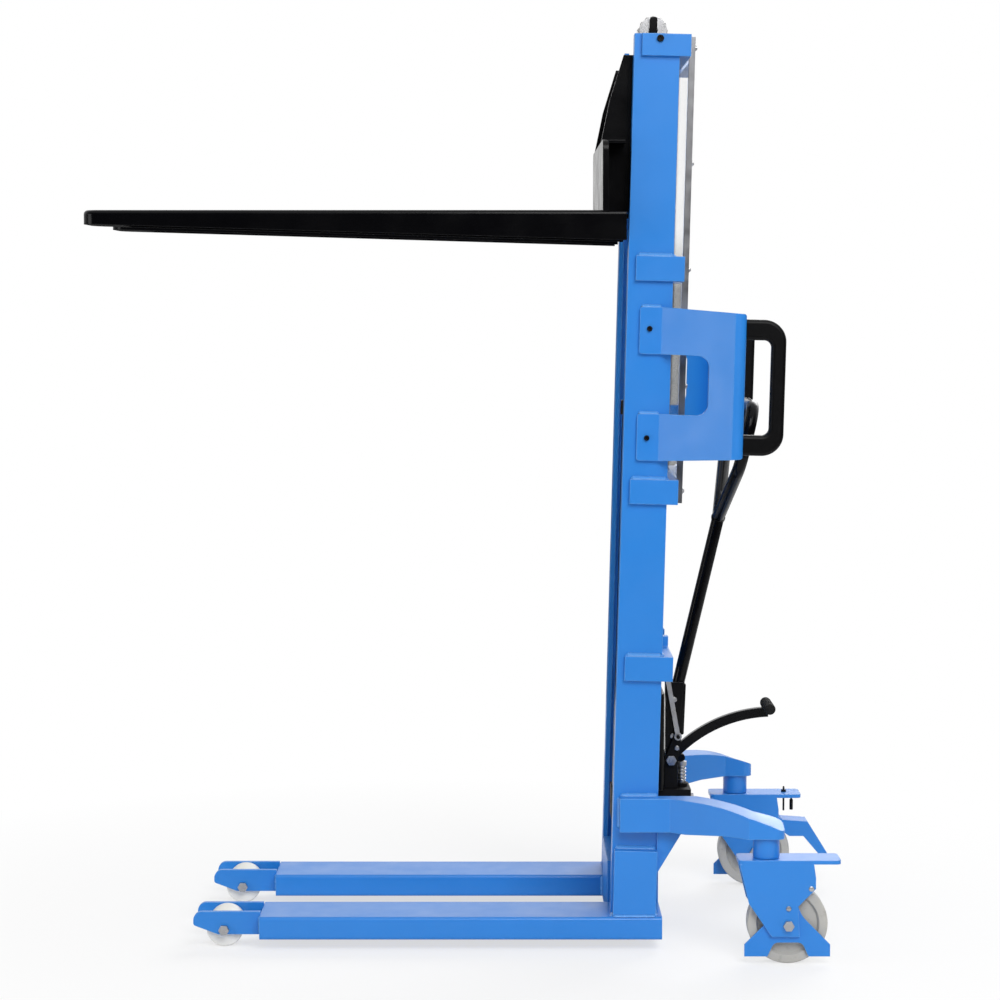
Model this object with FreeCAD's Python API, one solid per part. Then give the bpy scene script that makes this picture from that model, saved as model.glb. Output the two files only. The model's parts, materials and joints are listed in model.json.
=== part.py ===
import FreeCAD, Part
import math
import os

V = FreeCAD.Vector

# Hand pallet stacker: forks point to -X, the operator stands at +X, the left side is -Y.
# X values named below are measured from the mast foot, where the leaning mast front meets the floor plane.

# Fasteners and clearances
ROLLER_BOLT_RADIUS = 8.0
HEX_RADIUS = 11.0
HEX_HEIGHT = 9.0
BOLT_CLEARANCE = 0.1
RUNNING_CLEARANCE = 0.05
SIDE_CLEARANCE = 0.5
SEAT_CLEARANCE = 0.3
TOUCH = 0.001

# Mast
LEAN_DEG = 1.4
LEAN = math.radians(LEAN_DEG)
MAST_TOP = 1853.0
MAST_DEPTH = 91.0
MAST_HALF_WIDTH = 238.0
FLANGE_WIDTH = 45.0
FLANGE_THICK = 10.0
WEB_THICK = 7.0
MAST_MID = MAST_DEPTH / 2.0

# Swivel casters
SWIVEL_BEHIND = 217.0
SWIVEL_X = MAST_DEPTH + SWIVEL_BEHIND
SWIVEL_OUT = 117.0
SWIVEL_Y = MAST_HALF_WIDTH + SWIVEL_OUT
WHEEL_RADIUS = 80.0
WHEEL_WIDTH = 42.0
WHEEL_TRAIL = 42.0
WHEEL_X = SWIVEL_X + WHEEL_TRAIL
WHEEL_TOP = 2.0 * WHEEL_RADIUS
WHEEL_REAR = WHEEL_TRAIL + WHEEL_RADIUS
WHEEL_HUB_RADIUS = 25.0
WHEEL_HUB_STEP = 3.0
WHEEL_HUB_WIDTH = WHEEL_WIDTH + 2.0 * WHEEL_HUB_STEP
WHEEL_RIM = 17.0
WHEEL_RECESS = 7.0
WHEEL_EDGE = 4.0
CASTER_PLATE_RISE = 51.0
CASTER_PLATE_TOP = WHEEL_TOP + CASTER_PLATE_RISE
CASTER_PLATE_THICK = 8.0
CASTER_PLATE_FRONT = 58.0
CASTER_PLATE_TAIL = 24.0
CASTER_PLATE_REAR = WHEEL_REAR + CASTER_PLATE_TAIL
CASTER_PLATE_CORNER = 10.0
KINGPIN_RADIUS = 12.5
KINGPIN_RISE = 32.0
KINGPIN_TOP = CASTER_PLATE_TOP + KINGPIN_RISE
CASTER_CHEEK = 7.0
AXLE_COLLAR = 13.0
TOE_THICK = 4.5
CHEEK_HALF_GAP = WHEEL_HUB_WIDTH / 2.0 + SIDE_CLEARANCE + TOE_THICK
CHEEK_FOOT_DROP = 23.0
CHEEK_LOW = WHEEL_RADIUS - CHEEK_FOOT_DROP
CHEEK_FOOT_AHEAD = 33.0
CHEEK_FOOT_FRONT = WHEEL_TRAIL - CHEEK_FOOT_AHEAD
CHEEK_FOOT_BEHIND = 22.0
CHEEK_FOOT_REAR = WHEEL_TRAIL + CHEEK_FOOT_BEHIND
CHEEK_WAIST_RISE = 38.0
CHEEK_WAIST_Z = WHEEL_RADIUS + CHEEK_WAIST_RISE
CHEEK_WAIST_BEHIND = 19.0
CHEEK_WAIST_X = WHEEL_TRAIL + CHEEK_WAIST_BEHIND
CHEEK_LOBE_INSET = 26.0
CHEEK_LOBE_X = WHEEL_REAR - CHEEK_LOBE_INSET
CHEEK_LOBE_DROP = 6.0
CHEEK_LOBE_LOW = WHEEL_TOP - CHEEK_LOBE_DROP
CHEEK_LOBE_HEIGHT = 22.0
CHEEK_LOBE_HIGH = CHEEK_LOBE_LOW + CHEEK_LOBE_HEIGHT
CHEEK_TOP_FRONT = 56.0
CHEEK_TOP_INSET = 30.0
CHEEK_TOP_REAR = WHEEL_REAR - CHEEK_TOP_INSET
CHEEK_FRONT_WAIST_X = 37.0
CHEEK_FRONT_WAIST_RISE = 44.0
CHEEK_FRONT_WAIST_Z = WHEEL_RADIUS + CHEEK_FRONT_WAIST_RISE
TOE_BOTTOM = 16.0
TOE_AHEAD = 7.0
TOE_FRONT = WHEEL_RADIUS + TOE_AHEAD
TOE_BEHIND = 4.0
TOE_REAR = WHEEL_RADIUS + TOE_BEHIND
TOE_WING = 24.0
TOE_ARCH_HALF = 41.0
TOE_ARCH_HEIGHT = 28.0
TOE_ARCH_TOP_HALF = 28.0
TOE_ARCH_RADIUS = 14.0
TOE_STEM_RISE = 45.0
TOE_STEM_TOP = WHEEL_RADIUS + TOE_STEM_RISE
TOE_STEM_HALF = 19.0
TOE_FRONT_SHOULDER = 47.0
TOE_REAR_SHOULDER = 21.0
TOE_REAR_SHOULDER_RISE = 24.0
TOE_REAR_SHOULDER_Z = WHEEL_RADIUS + TOE_REAR_SHOULDER_RISE
TOE_HOLLOW_RADIUS = 60.0

# Toe brake on the right caster
BRAKE_PIVOT_INSET = 35.0
BRAKE_PIVOT_X = WHEEL_REAR - BRAKE_PIVOT_INSET
BRAKE_PIVOT_Z = CHEEK_LOBE_LOW
BRAKE_PIN_RADIUS = 5.0
BRAKE_SIDE_GAP = 1.5
BRAKE_HALF_WIDTH = CHEEK_HALF_GAP - BRAKE_SIDE_GAP
BRAKE_SIDE = 5.0
BRAKE_SKIN = 6.0
BRAKE_NOSE_RISE = 6.0
BRAKE_NOSE_Z = WHEEL_TOP + BRAKE_NOSE_RISE
BRAKE_TOP_DROP = 18.0
BRAKE_TOP_Z = BRAKE_NOSE_Z - BRAKE_TOP_DROP
BRAKE_BROW_DROP = 14.0
BRAKE_BROW_Z = BRAKE_NOSE_Z - BRAKE_BROW_DROP
BRAKE_LOW_RISE = 34.5
BRAKE_LOW_Z = WHEEL_RADIUS + BRAKE_LOW_RISE
BRAKE_SHOULDER_REACH = 40.0
BRAKE_SHOULDER_X = WHEEL_REAR + BRAKE_SHOULDER_REACH
BRAKE_TIP_REACH = 88.0
BRAKE_TIP_X = WHEEL_REAR + BRAKE_TIP_REACH
BRAKE_TIP_DROP = 9.0
BRAKE_TIP_Z = WHEEL_RADIUS - BRAKE_TIP_DROP
BRAKE_TREAD = 20.0
BRAKE_HEEL_INSET = 1.0
BRAKE_HEEL_X = WHEEL_REAR - BRAKE_HEEL_INSET
BRAKE_EYE = 9.0
BRAKE_BROW_X = CHEEK_LOBE_X + BRAKE_EYE
SHOE_GAP = 6.0
SHOE_THICK = 12.0
SHOE_DROP = 12.0

# Rear arms, swivel posts, gussets and mast shoes
POST_RADIUS = 26.5
POST_GAP = 0.6
POST_BOTTOM = CASTER_PLATE_TOP + POST_GAP
POST_HEIGHT = 31.4
ARM_FRONT = 19.5
ARM_BOTTOM = POST_BOTTOM + POST_HEIGHT
ARM_HEIGHT = 69.0
ARM_TOP = ARM_BOTTOM + ARM_HEIGHT
ARM_END_RISE = 9.0
ARM_END_BOTTOM = ARM_BOTTOM + ARM_END_RISE
ARM_END_HEIGHT = 14.0
ARM_FALL = ARM_HEIGHT - ARM_END_RISE - ARM_END_HEIGHT
ARM_INNER_SHARE = 0.3
ARM_INNER_FALL = ARM_FALL * ARM_INNER_SHARE
ARM_FOLDS = 6
ARM_SLOPE_LENGTH = 187.0
ARM_END_REACH = 35.0
ARM_END = SWIVEL_X + ARM_END_REACH
ARM_SLOPE_START = ARM_END - ARM_SLOPE_LENGTH
ARM_SIDE = 32.0
ARM_BEND_BEHIND = 30.0
ARM_BEND = MAST_DEPTH + ARM_BEND_BEHIND
ARM_KNEE_AHEAD = 38.0
ARM_KNEE = SWIVEL_X - ARM_KNEE_AHEAD
ARM_END_WIDTH = 66.0
ARM_INNER_BEHIND = 86.0
ARM_INNER_BEND = MAST_DEPTH + ARM_INNER_BEHIND
ARM_INNER_AHEAD = 25.0
ARM_INNER_KNEE = SWIVEL_X - ARM_INNER_AHEAD
ARM_END_RADIUS = 18.0
ARM_WALL = 6.0
GUSSET_THICK = 8.0
GUSSET_HEIGHT = 92.0
GUSSET_FOOT = ARM_BOTTOM - GUSSET_HEIGHT
GUSSET_BEHIND = 59.0
GUSSET_REACH = MAST_DEPTH + GUSSET_BEHIND
ARM_RISE_RUN = 76.0
ARM_RISE_END = GUSSET_REACH + ARM_RISE_RUN
SHOE_SETBACK = 4.0
SHOE_WIDTH = 30.0
SHOE_BELOW_ARM = 38.0
SHOE_TOP = ARM_BOTTOM - SHOE_BELOW_ARM
SHOE_WALL = 8.0

# Support legs and front rollers
LEG_LEDGE = 6.0
LEG_WIDTH = 148.0
LEG_CENTRE = MAST_HALF_WIDTH + SHOE_WIDTH + LEG_LEDGE - LEG_WIDTH / 2.0
LEG_BOTTOM = 22.0
LEG_HEIGHT = 47.0
LEG_TOP = LEG_BOTTOM + LEG_HEIGHT
LEG_FRONT = -714.0
LEG_TAIL = 15.0
LEG_REAR = MAST_DEPTH + LEG_TAIL
LEG_WALL = 5.0
LEG_END_PLATE = 8.0
LEG_EDGE_RADIUS = 7.0
ROLLER_RADIUS = 37.5
ROLLER_WIDTH = 72.0
ROLLER_EDGE = 4.0
ROLLER_AHEAD = 74.0
ROLLER_X = LEG_FRONT - ROLLER_AHEAD
CHEEK_THICK = 10.0
CHEEK_SIDE_GAP = 1.5
CHEEK_HALF_SPAN = ROLLER_WIDTH / 2.0 + CHEEK_SIDE_GAP
CHEEK_TOP = 2.0 * ROLLER_RADIUS
CHEEK_BOTTOM = 28.0
CHEEK_NOSE = 63.0
CHEEK_NOSE_RISE = 9.5
CHEEK_NOSE_LOW = ROLLER_RADIUS + CHEEK_NOSE_RISE
CHEEK_NOSE_RADIUS = 18.0
CHEEK_TOE_RADIUS = 6.0
CHEEK_SLOPE = 13.0

# Base beam between the legs
BEAM_PLATE = 10.0
BEAM_WEB_HEIGHT = 123.0
BEAM_TOP = LEG_BOTTOM + BEAM_WEB_HEIGHT + BEAM_PLATE

# Lift cylinder across the mast
BARREL_RADIUS = 38.0
BARREL_WALL = 7.0
GLAND_LIP = 4.0
GLAND_RADIUS = BARREL_RADIUS + GLAND_LIP
ROD_RADIUS = 18.0

# Pump unit
MANIFOLD_NOSE = 4.5
MANIFOLD_FRONT = MAST_MID - BARREL_RADIUS + MANIFOLD_NOSE
MANIFOLD_SIDE = 8.0
MANIFOLD_HALF_WIDTH = BARREL_RADIUS + MANIFOLD_SIDE
MANIFOLD_RISE = 135.0
MANIFOLD_TOP = BEAM_TOP + MANIFOLD_RISE
MANIFOLD_HEAD = 65.0
MANIFOLD_WAIST_Z = MANIFOLD_TOP - MANIFOLD_HEAD
MANIFOLD_FOOT_INSET = 33.0
MANIFOLD_FOOT_FRONT = MANIFOLD_FRONT + MANIFOLD_FOOT_INSET
RESERVOIR_GAP = 13.5
RESERVOIR_FRONT = MAST_MID + BARREL_RADIUS + RESERVOIR_GAP
RESERVOIR_DEPTH = 25.0
RESERVOIR_HALF_WIDTH = 62.0
RESERVOIR_HEIGHT = 205.0
RESERVOIR_TOP = MANIFOLD_TOP + RESERVOIR_HEIGHT
RESERVOIR_CORNER = 10.0
EAR_INNER = 24.0
EAR_THICK = 12.0
EAR_RADIUS = 14.0
EAR_CORNER = 12.0
EAR_GAP = 2.0
ROCKER_X = RESERVOIR_FRONT + RESERVOIR_DEPTH + EAR_GAP + EAR_RADIUS
ROCKER_RISE = 61.0
ROCKER_Z = MANIFOLD_TOP + ROCKER_RISE
ROCKER_PIN_RADIUS = 8.0
ROCKER_HUB_WALL = 4.0
ROCKER_HUB_RADIUS = ROCKER_PIN_RADIUS + ROCKER_HUB_WALL
ROCKER_HALF_WIDTH = EAR_INNER - SIDE_CLEARANCE
ROCKER_ARM_HALF = 19.0
HANDLE_RADIUS = 13.0
SOCKET_HEIGHT = 164.0
SOCKET_TOP = ROCKER_Z + SOCKET_HEIGHT
SOCKET_SHIFT = 12.0
SOCKET_X = ROCKER_X + SOCKET_SHIFT
SOCKET_WALL = 3.0
SOCKET_HALF = HANDLE_RADIUS + SOCKET_WALL
SOCKET_STEP = 1.0
SOCKET_FOOT_HALF = ROCKER_HUB_RADIUS - SOCKET_STEP
NOSE_RADIUS = 8.0
PLUNGER_RADIUS = 7.0
PLUNGER_DEPTH = 28.0
PLUNGER_FOOT = MANIFOLD_TOP - PLUNGER_DEPTH
PLUNGER_STROKE = 11.0
PLUNGER_TOP = ROCKER_Z - NOSE_RADIUS - SEAT_CLEARANCE
PLUNGER_CAP = 7.0
SPRING_WIRE = 2.8
SPRING_TURNS = 5
SPRING_SLACK = 1.2
SPRING_RADIUS = PLUNGER_RADIUS + SPRING_SLACK + SPRING_WIRE / 2.0
PLUNGER_CAP_LIP = 2.0
PLUNGER_CAP_RADIUS = SPRING_RADIUS + PLUNGER_CAP_LIP
PLUNGER_X = ROCKER_X + ROCKER_HUB_RADIUS + PLUNGER_CAP_RADIUS
SLEEVE_WALL = 7.0
SLEEVE_RADIUS = PLUNGER_RADIUS + SLEEVE_WALL
SLEEVE_HEIGHT = 7.0
SLEEVE_TOP = MANIFOLD_TOP + SLEEVE_HEIGHT
MANIFOLD_TAIL = 18.0
MANIFOLD_REAR = PLUNGER_X + MANIFOLD_TAIL
MANIFOLD_FOOT_STEP = 60.0
MANIFOLD_FOOT_REAR = MANIFOLD_REAR - MANIFOLD_FOOT_STEP
SHELF_MARGIN = 6.0
SHELF_LENGTH = MANIFOLD_FOOT_REAR + SHELF_MARGIN
SHELF_HALF_WIDTH = 60.0
HANDLE_TILT_DEG = 13.2
HANDLE_SHIFT = 24.0
HANDLE_ORIGIN_X = ROCKER_X + HANDLE_SHIFT
HANDLE_RISE = 191.0
HANDLE_ORIGIN_Z = ROCKER_Z + HANDLE_RISE
HANDLE_FOOT = -70.0
HANDLE_APEX = 330.0
LOOP_LENGTH = 247.0
LOOP_TOP = HANDLE_APEX + LOOP_LENGTH
LOOP_NECK = 123.0
LOOP_SHOULDER = HANDLE_APEX + LOOP_NECK
LOOP_HALF_WIDTH = 190.0
LOOP_RADIUS = 13.0
LOOP_KNUCKLE = 15.0
LOOP_BEND = 50.0
PEDAL_ROOT_REACH = 10.0
PEDAL_ROOT_RISE = 9.0
PEDAL_MID_REACH = 105.0
PEDAL_MID_RISE = 75.0
PEDAL_END_REACH = 207.0
PEDAL_END_RISE = 98.0
PEDAL_ROOT = (ROCKER_X + PEDAL_ROOT_REACH, ROCKER_Z + PEDAL_ROOT_RISE)
PEDAL_MID = (ROCKER_X + PEDAL_MID_REACH, ROCKER_Z + PEDAL_MID_RISE)
PEDAL_END = (ROCKER_X + PEDAL_END_REACH, ROCKER_Z + PEDAL_END_RISE)
PEDAL_HEIGHT = 20.0
PEDAL_HALF_WIDTH = 8.0
PAD_RADIUS = 12.0
PAD_HALF_WIDTH = 52.0
PAD_RISE = 12.0
PAD_EDGE = 3.0
RELEASE_HALF = 5.0
RELEASE_LEAN = 24.0
RELEASE_PIVOT_X = ROCKER_X + EAR_RADIUS
RELEASE_PIVOT_RISE = 51.0
RELEASE_PIVOT_Z = ROCKER_Z + RELEASE_PIVOT_RISE
RELEASE_PIN_RADIUS = 4.0
RELEASE_PIN_LENGTH = 14.0
RELEASE_TOP_X = RELEASE_PIVOT_X - RELEASE_LEAN
RELEASE_LENGTH = 133.0
RELEASE_TOP_Z = RELEASE_PIVOT_Z + RELEASE_LENGTH
RELEASE_THICK = 6.0
RELEASE_EYE = 8.0

# Carriage heights at full lift
CARRIAGE_HEADROOM = 39.0
CARRIAGE_TOP = MAST_TOP - CARRIAGE_HEADROOM
CARRIAGE_HEIGHT = 314.0
FORK_TOP = CARRIAGE_TOP - CARRIAGE_HEIGHT
LOWERED_FORK_TOP = 90.0
LIFT_STROKE = FORK_TOP - LOWERED_FORK_TOP
ROD_STROKE = LIFT_STROKE / 2.0

# Lift cylinder along the mast
BARREL_SEAT = 7.0
BARREL_FOOT = MANIFOLD_TOP - BARREL_SEAT
PISTON_REST = 39.0
PISTON_HEIGHT = 36.0
PISTON_TOP = BARREL_FOOT + BARREL_WALL + PISTON_REST + ROD_STROKE + PISTON_HEIGHT
BARREL_MARGIN = 27.0
BARREL_TOP = PISTON_TOP + BARREL_MARGIN
GLAND_HALF = 15.0
GLAND_FOOT = BARREL_TOP - GLAND_HALF
GLAND_TOP = BARREL_TOP + GLAND_HALF

# Cross bands round the back of the mast, handle brackets and push grips
BAND_FRONT = 15.0
BAND_THICK = 10.0
BAND_BAR = 22.0
BAND_HEIGHT = 50.0
TOP_BAND_HEIGHT = 44.0
BAND_ABOVE_TANK = 56.0
LOWER_BAND_FOOT = RESERVOIR_TOP + BAND_ABOVE_TANK
BRACKET_MID = 1154.0
BRACKET_HALF_HEIGHT = 155.0
BRACKET_TOP = BRACKET_MID + BRACKET_HALF_HEIGHT
BRACKET_BOTTOM = BRACKET_MID - BRACKET_HALF_HEIGHT
BAND_BELOW_BRACKET = 38.0
MIDDLE_BAND_FOOT = BRACKET_BOTTOM - BAND_BELOW_BRACKET - BAND_HEIGHT
BAND_ABOVE_BRACKET = 52.0
UPPER_BAND_FOOT = BRACKET_TOP + BAND_ABOVE_BRACKET
BRACKET_THICK = 8.0
BRACKET_FRONT = 26.0
BRACKET_REAR_DROP = 10.0
BRACKET_REAR_TOP = BRACKET_TOP - BRACKET_REAR_DROP
BRACKET_REAR_RISE = 13.0
BRACKET_REAR_BOTTOM = BRACKET_BOTTOM + BRACKET_REAR_RISE
BRACKET_BEHIND = 141.5
BRACKET_REAR = MAST_DEPTH + BRACKET_BEHIND
BRACKET_FLARE = 104.0
BRACKET_WING = MAST_HALF_WIDTH + BRACKET_FLARE
BRACKET_FOLD_AHEAD = 20.5
BRACKET_FOLD = BRACKET_REAR - BRACKET_FOLD_AHEAD
BRACKET_SHOULDER_INSET = 18.0
BRACKET_SHOULDER = MAST_DEPTH - BRACKET_SHOULDER_INSET
BRACKET_NOTCH_HALF = 60.0
BRACKET_NOTCH_LOW = BRACKET_MID - BRACKET_NOTCH_HALF
BRACKET_NOTCH_HIGH = BRACKET_MID + BRACKET_NOTCH_HALF
BRACKET_NOTCH_INSET = 70.0
BRACKET_NOTCH_REAR = BRACKET_REAR - BRACKET_NOTCH_INSET
BRACKET_NOTCH_RADIUS = 24.0
BRACKET_TAB_RADIUS = 6.0
BRACKET_BEND = 14.0
BRACKET_FLANGE = 44.0
GRIP_INSET = 16.0
GRIP_Y = BRACKET_WING - GRIP_INSET
GRIP_THICK = 28.0
GRIP_DEPTH = 80.0
GRIP_REAR = BRACKET_REAR + GRIP_DEPTH
GRIP_BAR = 29.0
GRIP_HALF_HEIGHT = 135.0
GRIP_TOP = BRACKET_MID + GRIP_HALF_HEIGHT
GRIP_BOTTOM = BRACKET_MID - GRIP_HALF_HEIGHT
GRIP_ARM = 41.0
GRIP_OUTER_RADIUS = 44.0
GRIP_INNER_RADIUS = 14.0
GRIP_EDGE = 8.0

# Guard panel
GUARD_BOTTOM = MIDDLE_BAND_FOOT
GUARD_TOP = MAST_TOP
GUARD_INSET = 3.0
GUARD_HALF_WIDTH = MAST_HALF_WIDTH - FLANGE_WIDTH - GUARD_INSET
GUARD_THICK = 4.0
STRIP_DEPTH = 12.0
STRIP_WIDTH = 12.0
STRIP_GRIP = 8.0
STRIP_LIP = 3.0

# Sheaves and lift chains
CHAIN_WIDTH = 18.0
CHAIN_DEPTH = 12.0
CHAIN_WAIST = 8.0
CHAIN_PITCH = 25.4
CHAIN_RADIUS = 24.0
SHEAVE_ABOVE_MAST = 23.0
SHEAVE_Z = MAST_TOP + SHEAVE_ABOVE_MAST
SHEAVE_LIP = 4.5
SHEAVE_RADIUS = CHAIN_RADIUS + SHEAVE_LIP
SHEAVE_OUT = 20.0
SHEAVE_Y = GLAND_RADIUS + SHEAVE_OUT
SHEAVE_FLANGE = 1.6
SHEAVE_SIDE_GAP = 0.3
YOKE_SHEAVE_GAP = 4.5
YOKE_TOP = SHEAVE_Z - SHEAVE_RADIUS - YOKE_SHEAVE_GAP
YOKE_HEIGHT = 21.0
YOKE_BOTTOM = YOKE_TOP - YOKE_HEIGHT
YOKE_CHAIN_GAP = 1.0
YOKE_HALF_DEPTH = CHAIN_RADIUS - CHAIN_DEPTH / 2.0 - YOKE_CHAIN_GAP
YOKE_MARGIN = 24.0
YOKE_HALF_WIDTH = SHEAVE_Y + YOKE_MARGIN
YOKE_ARM_RISE = 27.0
YOKE_ARM_TOP = SHEAVE_Z + YOKE_ARM_RISE
YOKE_ARM_WIDTH = 15.0
YOKE_ARM_THICK = 10.0
YOKE_ARM_GAP = 0.8
YOKE_ARM_CORNER = 4.5
YOKE_AXLE_RADIUS = 9.0
FRONT_ANCHOR_RISE = 112.0
FRONT_ANCHOR_Z = FORK_TOP + FRONT_ANCHOR_RISE
REAR_LUG_HEIGHT = 21.0
REAR_ANCHOR_Z = LOWER_BAND_FOOT + BAND_HEIGHT + REAR_LUG_HEIGHT
ANCHOR_HEIGHT = 30.0
LUG_WIDTH = 26.0
LUG_MARGIN = 10.5
LUG_REAR = MAST_MID - CHAIN_RADIUS + LUG_MARGIN

# Carriage and forks
FORK_LENGTH = 1038.0
FORK_OVERHANG = 6.0
FORK_WIDTH = LEG_WIDTH + 2.0 * FORK_OVERHANG
FORK_TIP_THICK = 28.0
FORK_HEEL_THICK = 60.0
FORK_WALL = 4.0
FORK_SKIN = 6.0
FORK_NOSE = 80.0
FORK_NOSE_RADIUS = 30.0
FORK_EDGE_RADIUS = 8.0
FORK_HEEL_DEPTH = 48.0
HEEL_AHEAD = 56.0
HEEL_X = FORK_TOP * math.tan(LEAN) - HEEL_AHEAD
TIP_X = HEEL_X - FORK_LENGTH
PLATE_THICK = 12.0
PLATE_HEIGHT = 140.0
PLATE_CORNER = 20.0
PLATE_SEAT = 3.0
PLATE_FOOT = FORK_TOP - PLATE_SEAT
PLATE_TOP = FORK_TOP + PLATE_HEIGHT
PLATE_FLANGE = 34.0
PLATE_FLANGE_THICK = 6.0
CARRIAGE_WEB_THICK = 14.0
CARRIAGE_WEB_GAP = 7.0
CARRIAGE_WEB_OUTER = MAST_HALF_WIDTH - FLANGE_WIDTH - CARRIAGE_WEB_GAP
CARRIAGE_WEB_INNER = CARRIAGE_WEB_OUTER - CARRIAGE_WEB_THICK
CARRIAGE_KNEE_RISE = 83.0
CARRIAGE_KNEE_Z = PLATE_TOP + CARRIAGE_KNEE_RISE
CARRIAGE_KNEE_X = 17.0
CARRIAGE_BROW_X = 45.0
CARRIAGE_WEB_REAR = 66.0
TRACK_ROLLER_WIDTH = 33.0
TRACK_ROLLER_GAP = 0.5
TRACK_ROLLER_RADIUS = MAST_MID - FLANGE_THICK - TRACK_ROLLER_GAP
TRACK_STUB_RADIUS = 12.0
LOWER_ROLLER_RISE = 45.0
LOWER_ROLLER_Z = FORK_TOP + LOWER_ROLLER_RISE
UPPER_ROLLER_DROP = 46.0
UPPER_ROLLER_Z = CARRIAGE_TOP - UPPER_ROLLER_DROP
CROSSBAR_DEPTH = 22.0
CROSSBAR_HEIGHT = 35.0
UPPER_CROSSBAR_DROP = 64.0
UPPER_CROSSBAR_Z = CARRIAGE_TOP - UPPER_CROSSBAR_DROP

# Place of the mast foot, with the whole machine centred on X
BRAKE_REACH = SWIVEL_X + BRAKE_TIP_X
FORK_TIP_REACH = FORK_LENGTH + HEEL_AHEAD - FORK_TOP * math.tan(LEAN)
MAST_FOOT_X = (FORK_TIP_REACH - BRAKE_REACH) / 2.0


def at(x, y, z):
    """A point whose X is given from the mast foot."""
    return V(MAST_FOOT_X + x, y, z)


def lean(shape):
    """The same shape turned from the upright frame onto the leaning mast."""
    leaned = shape.copy()
    leaned.rotate(V(MAST_FOOT_X, 0, 0), V(0, 1, 0), LEAN_DEG)
    return leaned


def leaned_point(x, y, z):
    """Place of a mast point in the object frame."""
    return V(
        MAST_FOOT_X + x * math.cos(LEAN) + z * math.sin(LEAN),
        y,
        z * math.cos(LEAN) - x * math.sin(LEAN),
    )


def mirrored(shape):
    """The piece of the other side."""
    return shape.mirror(V(0, 0, 0), V(0, 1, 0))


def box(x0, x1, y0, y1, z0, z1):
    return Part.makeBox(x1 - x0, y1 - y0, z1 - z0, at(x0, y0, z0))


def rod(start, end, radius):
    return Part.makeCylinder(radius, (end - start).Length, start, end - start)


def cross_rod(x, z, y0, y1, radius):
    """A round bar along Y."""
    return rod(at(x, y0, z), at(x, y1, z), radius)


def rounded_edges(corners, closed):
    """Lines through the corners, each given as (point, radius), with tangent arcs at the rounded ones."""
    joints = []
    last = len(corners) - 1
    for index, (corner, radius) in enumerate(corners):
        if radius == 0 or (not closed and index in (0, last)):
            joints.append((corner, None, corner))
            continue
        before = (corners[index - 1][0] - corner).normalize()
        after = (corners[(index + 1) % len(corners)][0] - corner).normalize()
        half = before.getAngle(after) / 2.0
        reach = radius / math.tan(half)
        bisector = (before + after).normalize()
        middle = corner + bisector * (radius / math.sin(half) - radius)
        joints.append((corner + before * reach, middle, corner + after * reach))
    edges = []
    for index, (first, middle, second) in enumerate(joints):
        if middle is not None:
            edges.append(Part.Arc(first, middle, second).toShape())
        if index < last or closed:
            following = joints[(index + 1) % len(joints)][0]
            edges.append(Part.LineSegment(second, following).toShape())
    return edges


def side_prism(points, y0, y1):
    """An outline in the XZ plane, with points (x, z) or (x, z, radius), carried from y0 to y1."""
    corners = [(at(p[0], y0, p[1]), p[2] if len(p) > 2 else 0) for p in points]
    face = Part.Face(Part.Wire(rounded_edges(corners, True)))
    return face.extrude(V(0, y1 - y0, 0))


def plan_prism(points, z0, z1):
    """An outline in the XY plane, with points (x, y) or (x, y, radius), carried from z0 to z1."""
    corners = [(at(p[0], p[1], z0), p[2] if len(p) > 2 else 0) for p in points]
    face = Part.Face(Part.Wire(rounded_edges(corners, True)))
    return face.extrude(V(0, 0, z1 - z0))


def bent_tube(corners, radius):
    """A round bar along a path of lines and tangent arcs."""
    edges = rounded_edges(corners, False)
    start = corners[0][0]
    profile = Part.Wire([Part.makeCircle(radius, start, corners[1][0] - start)])
    return Part.Wire(edges).makePipeShell([profile], True, False)


def hex_prism(x, z, y0, y1, radius):
    """A hexagon head or nut along Y."""
    points = []
    for step in range(6):
        turn = math.radians(60 * step)
        points.append((x + radius * math.cos(turn), z + radius * math.sin(turn)))
    return side_prism(points, y0, y1)


def hex_bolt(x, z, y0, y1, radius, head):
    """A bolt along Y with a head on one end and a nut on the other."""
    bolt = cross_rod(x, z, y0 - HEX_HEIGHT, y1 + HEX_HEIGHT, radius)
    bolt = bolt.fuse(hex_prism(x, z, y0 - HEX_HEIGHT, y0, head))
    return bolt.fuse(hex_prism(x, z, y1, y1 + HEX_HEIGHT, head)).removeSplitter()


def save(name, *solids):
    """Write one node, a single solid or a group of separate ones."""
    shape = solids[0] if len(solids) == 1 else Part.makeCompound(solids)
    if not shape.isValid():
        raise ValueError("invalid shape: " + name)
    shape.exportStep("parts/" + name + ".step")
    print(name, len(shape.Solids), "solids", round(shape.Volume / 1000.0, 1), "cm3")


def support_leg():
    """Folded box section, closed at the front and open at the back."""
    low = LEG_CENTRE - LEG_WIDTH / 2.0
    high = LEG_CENTRE + LEG_WIDTH / 2.0
    shell = box(LEG_FRONT, LEG_REAR, low, high, LEG_BOTTOM, LEG_TOP)
    long_edges = [e for e in shell.Edges if abs(e.Length - (LEG_REAR - LEG_FRONT)) < TOUCH]
    shell = shell.makeFillet(LEG_EDGE_RADIUS, long_edges)
    hollow = box(
        LEG_FRONT + LEG_END_PLATE, LEG_REAR,
        low + LEG_WALL, high - LEG_WALL,
        LEG_BOTTOM + LEG_WALL, LEG_TOP - LEG_WALL,
    )
    return shell.cut(hollow)


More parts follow.
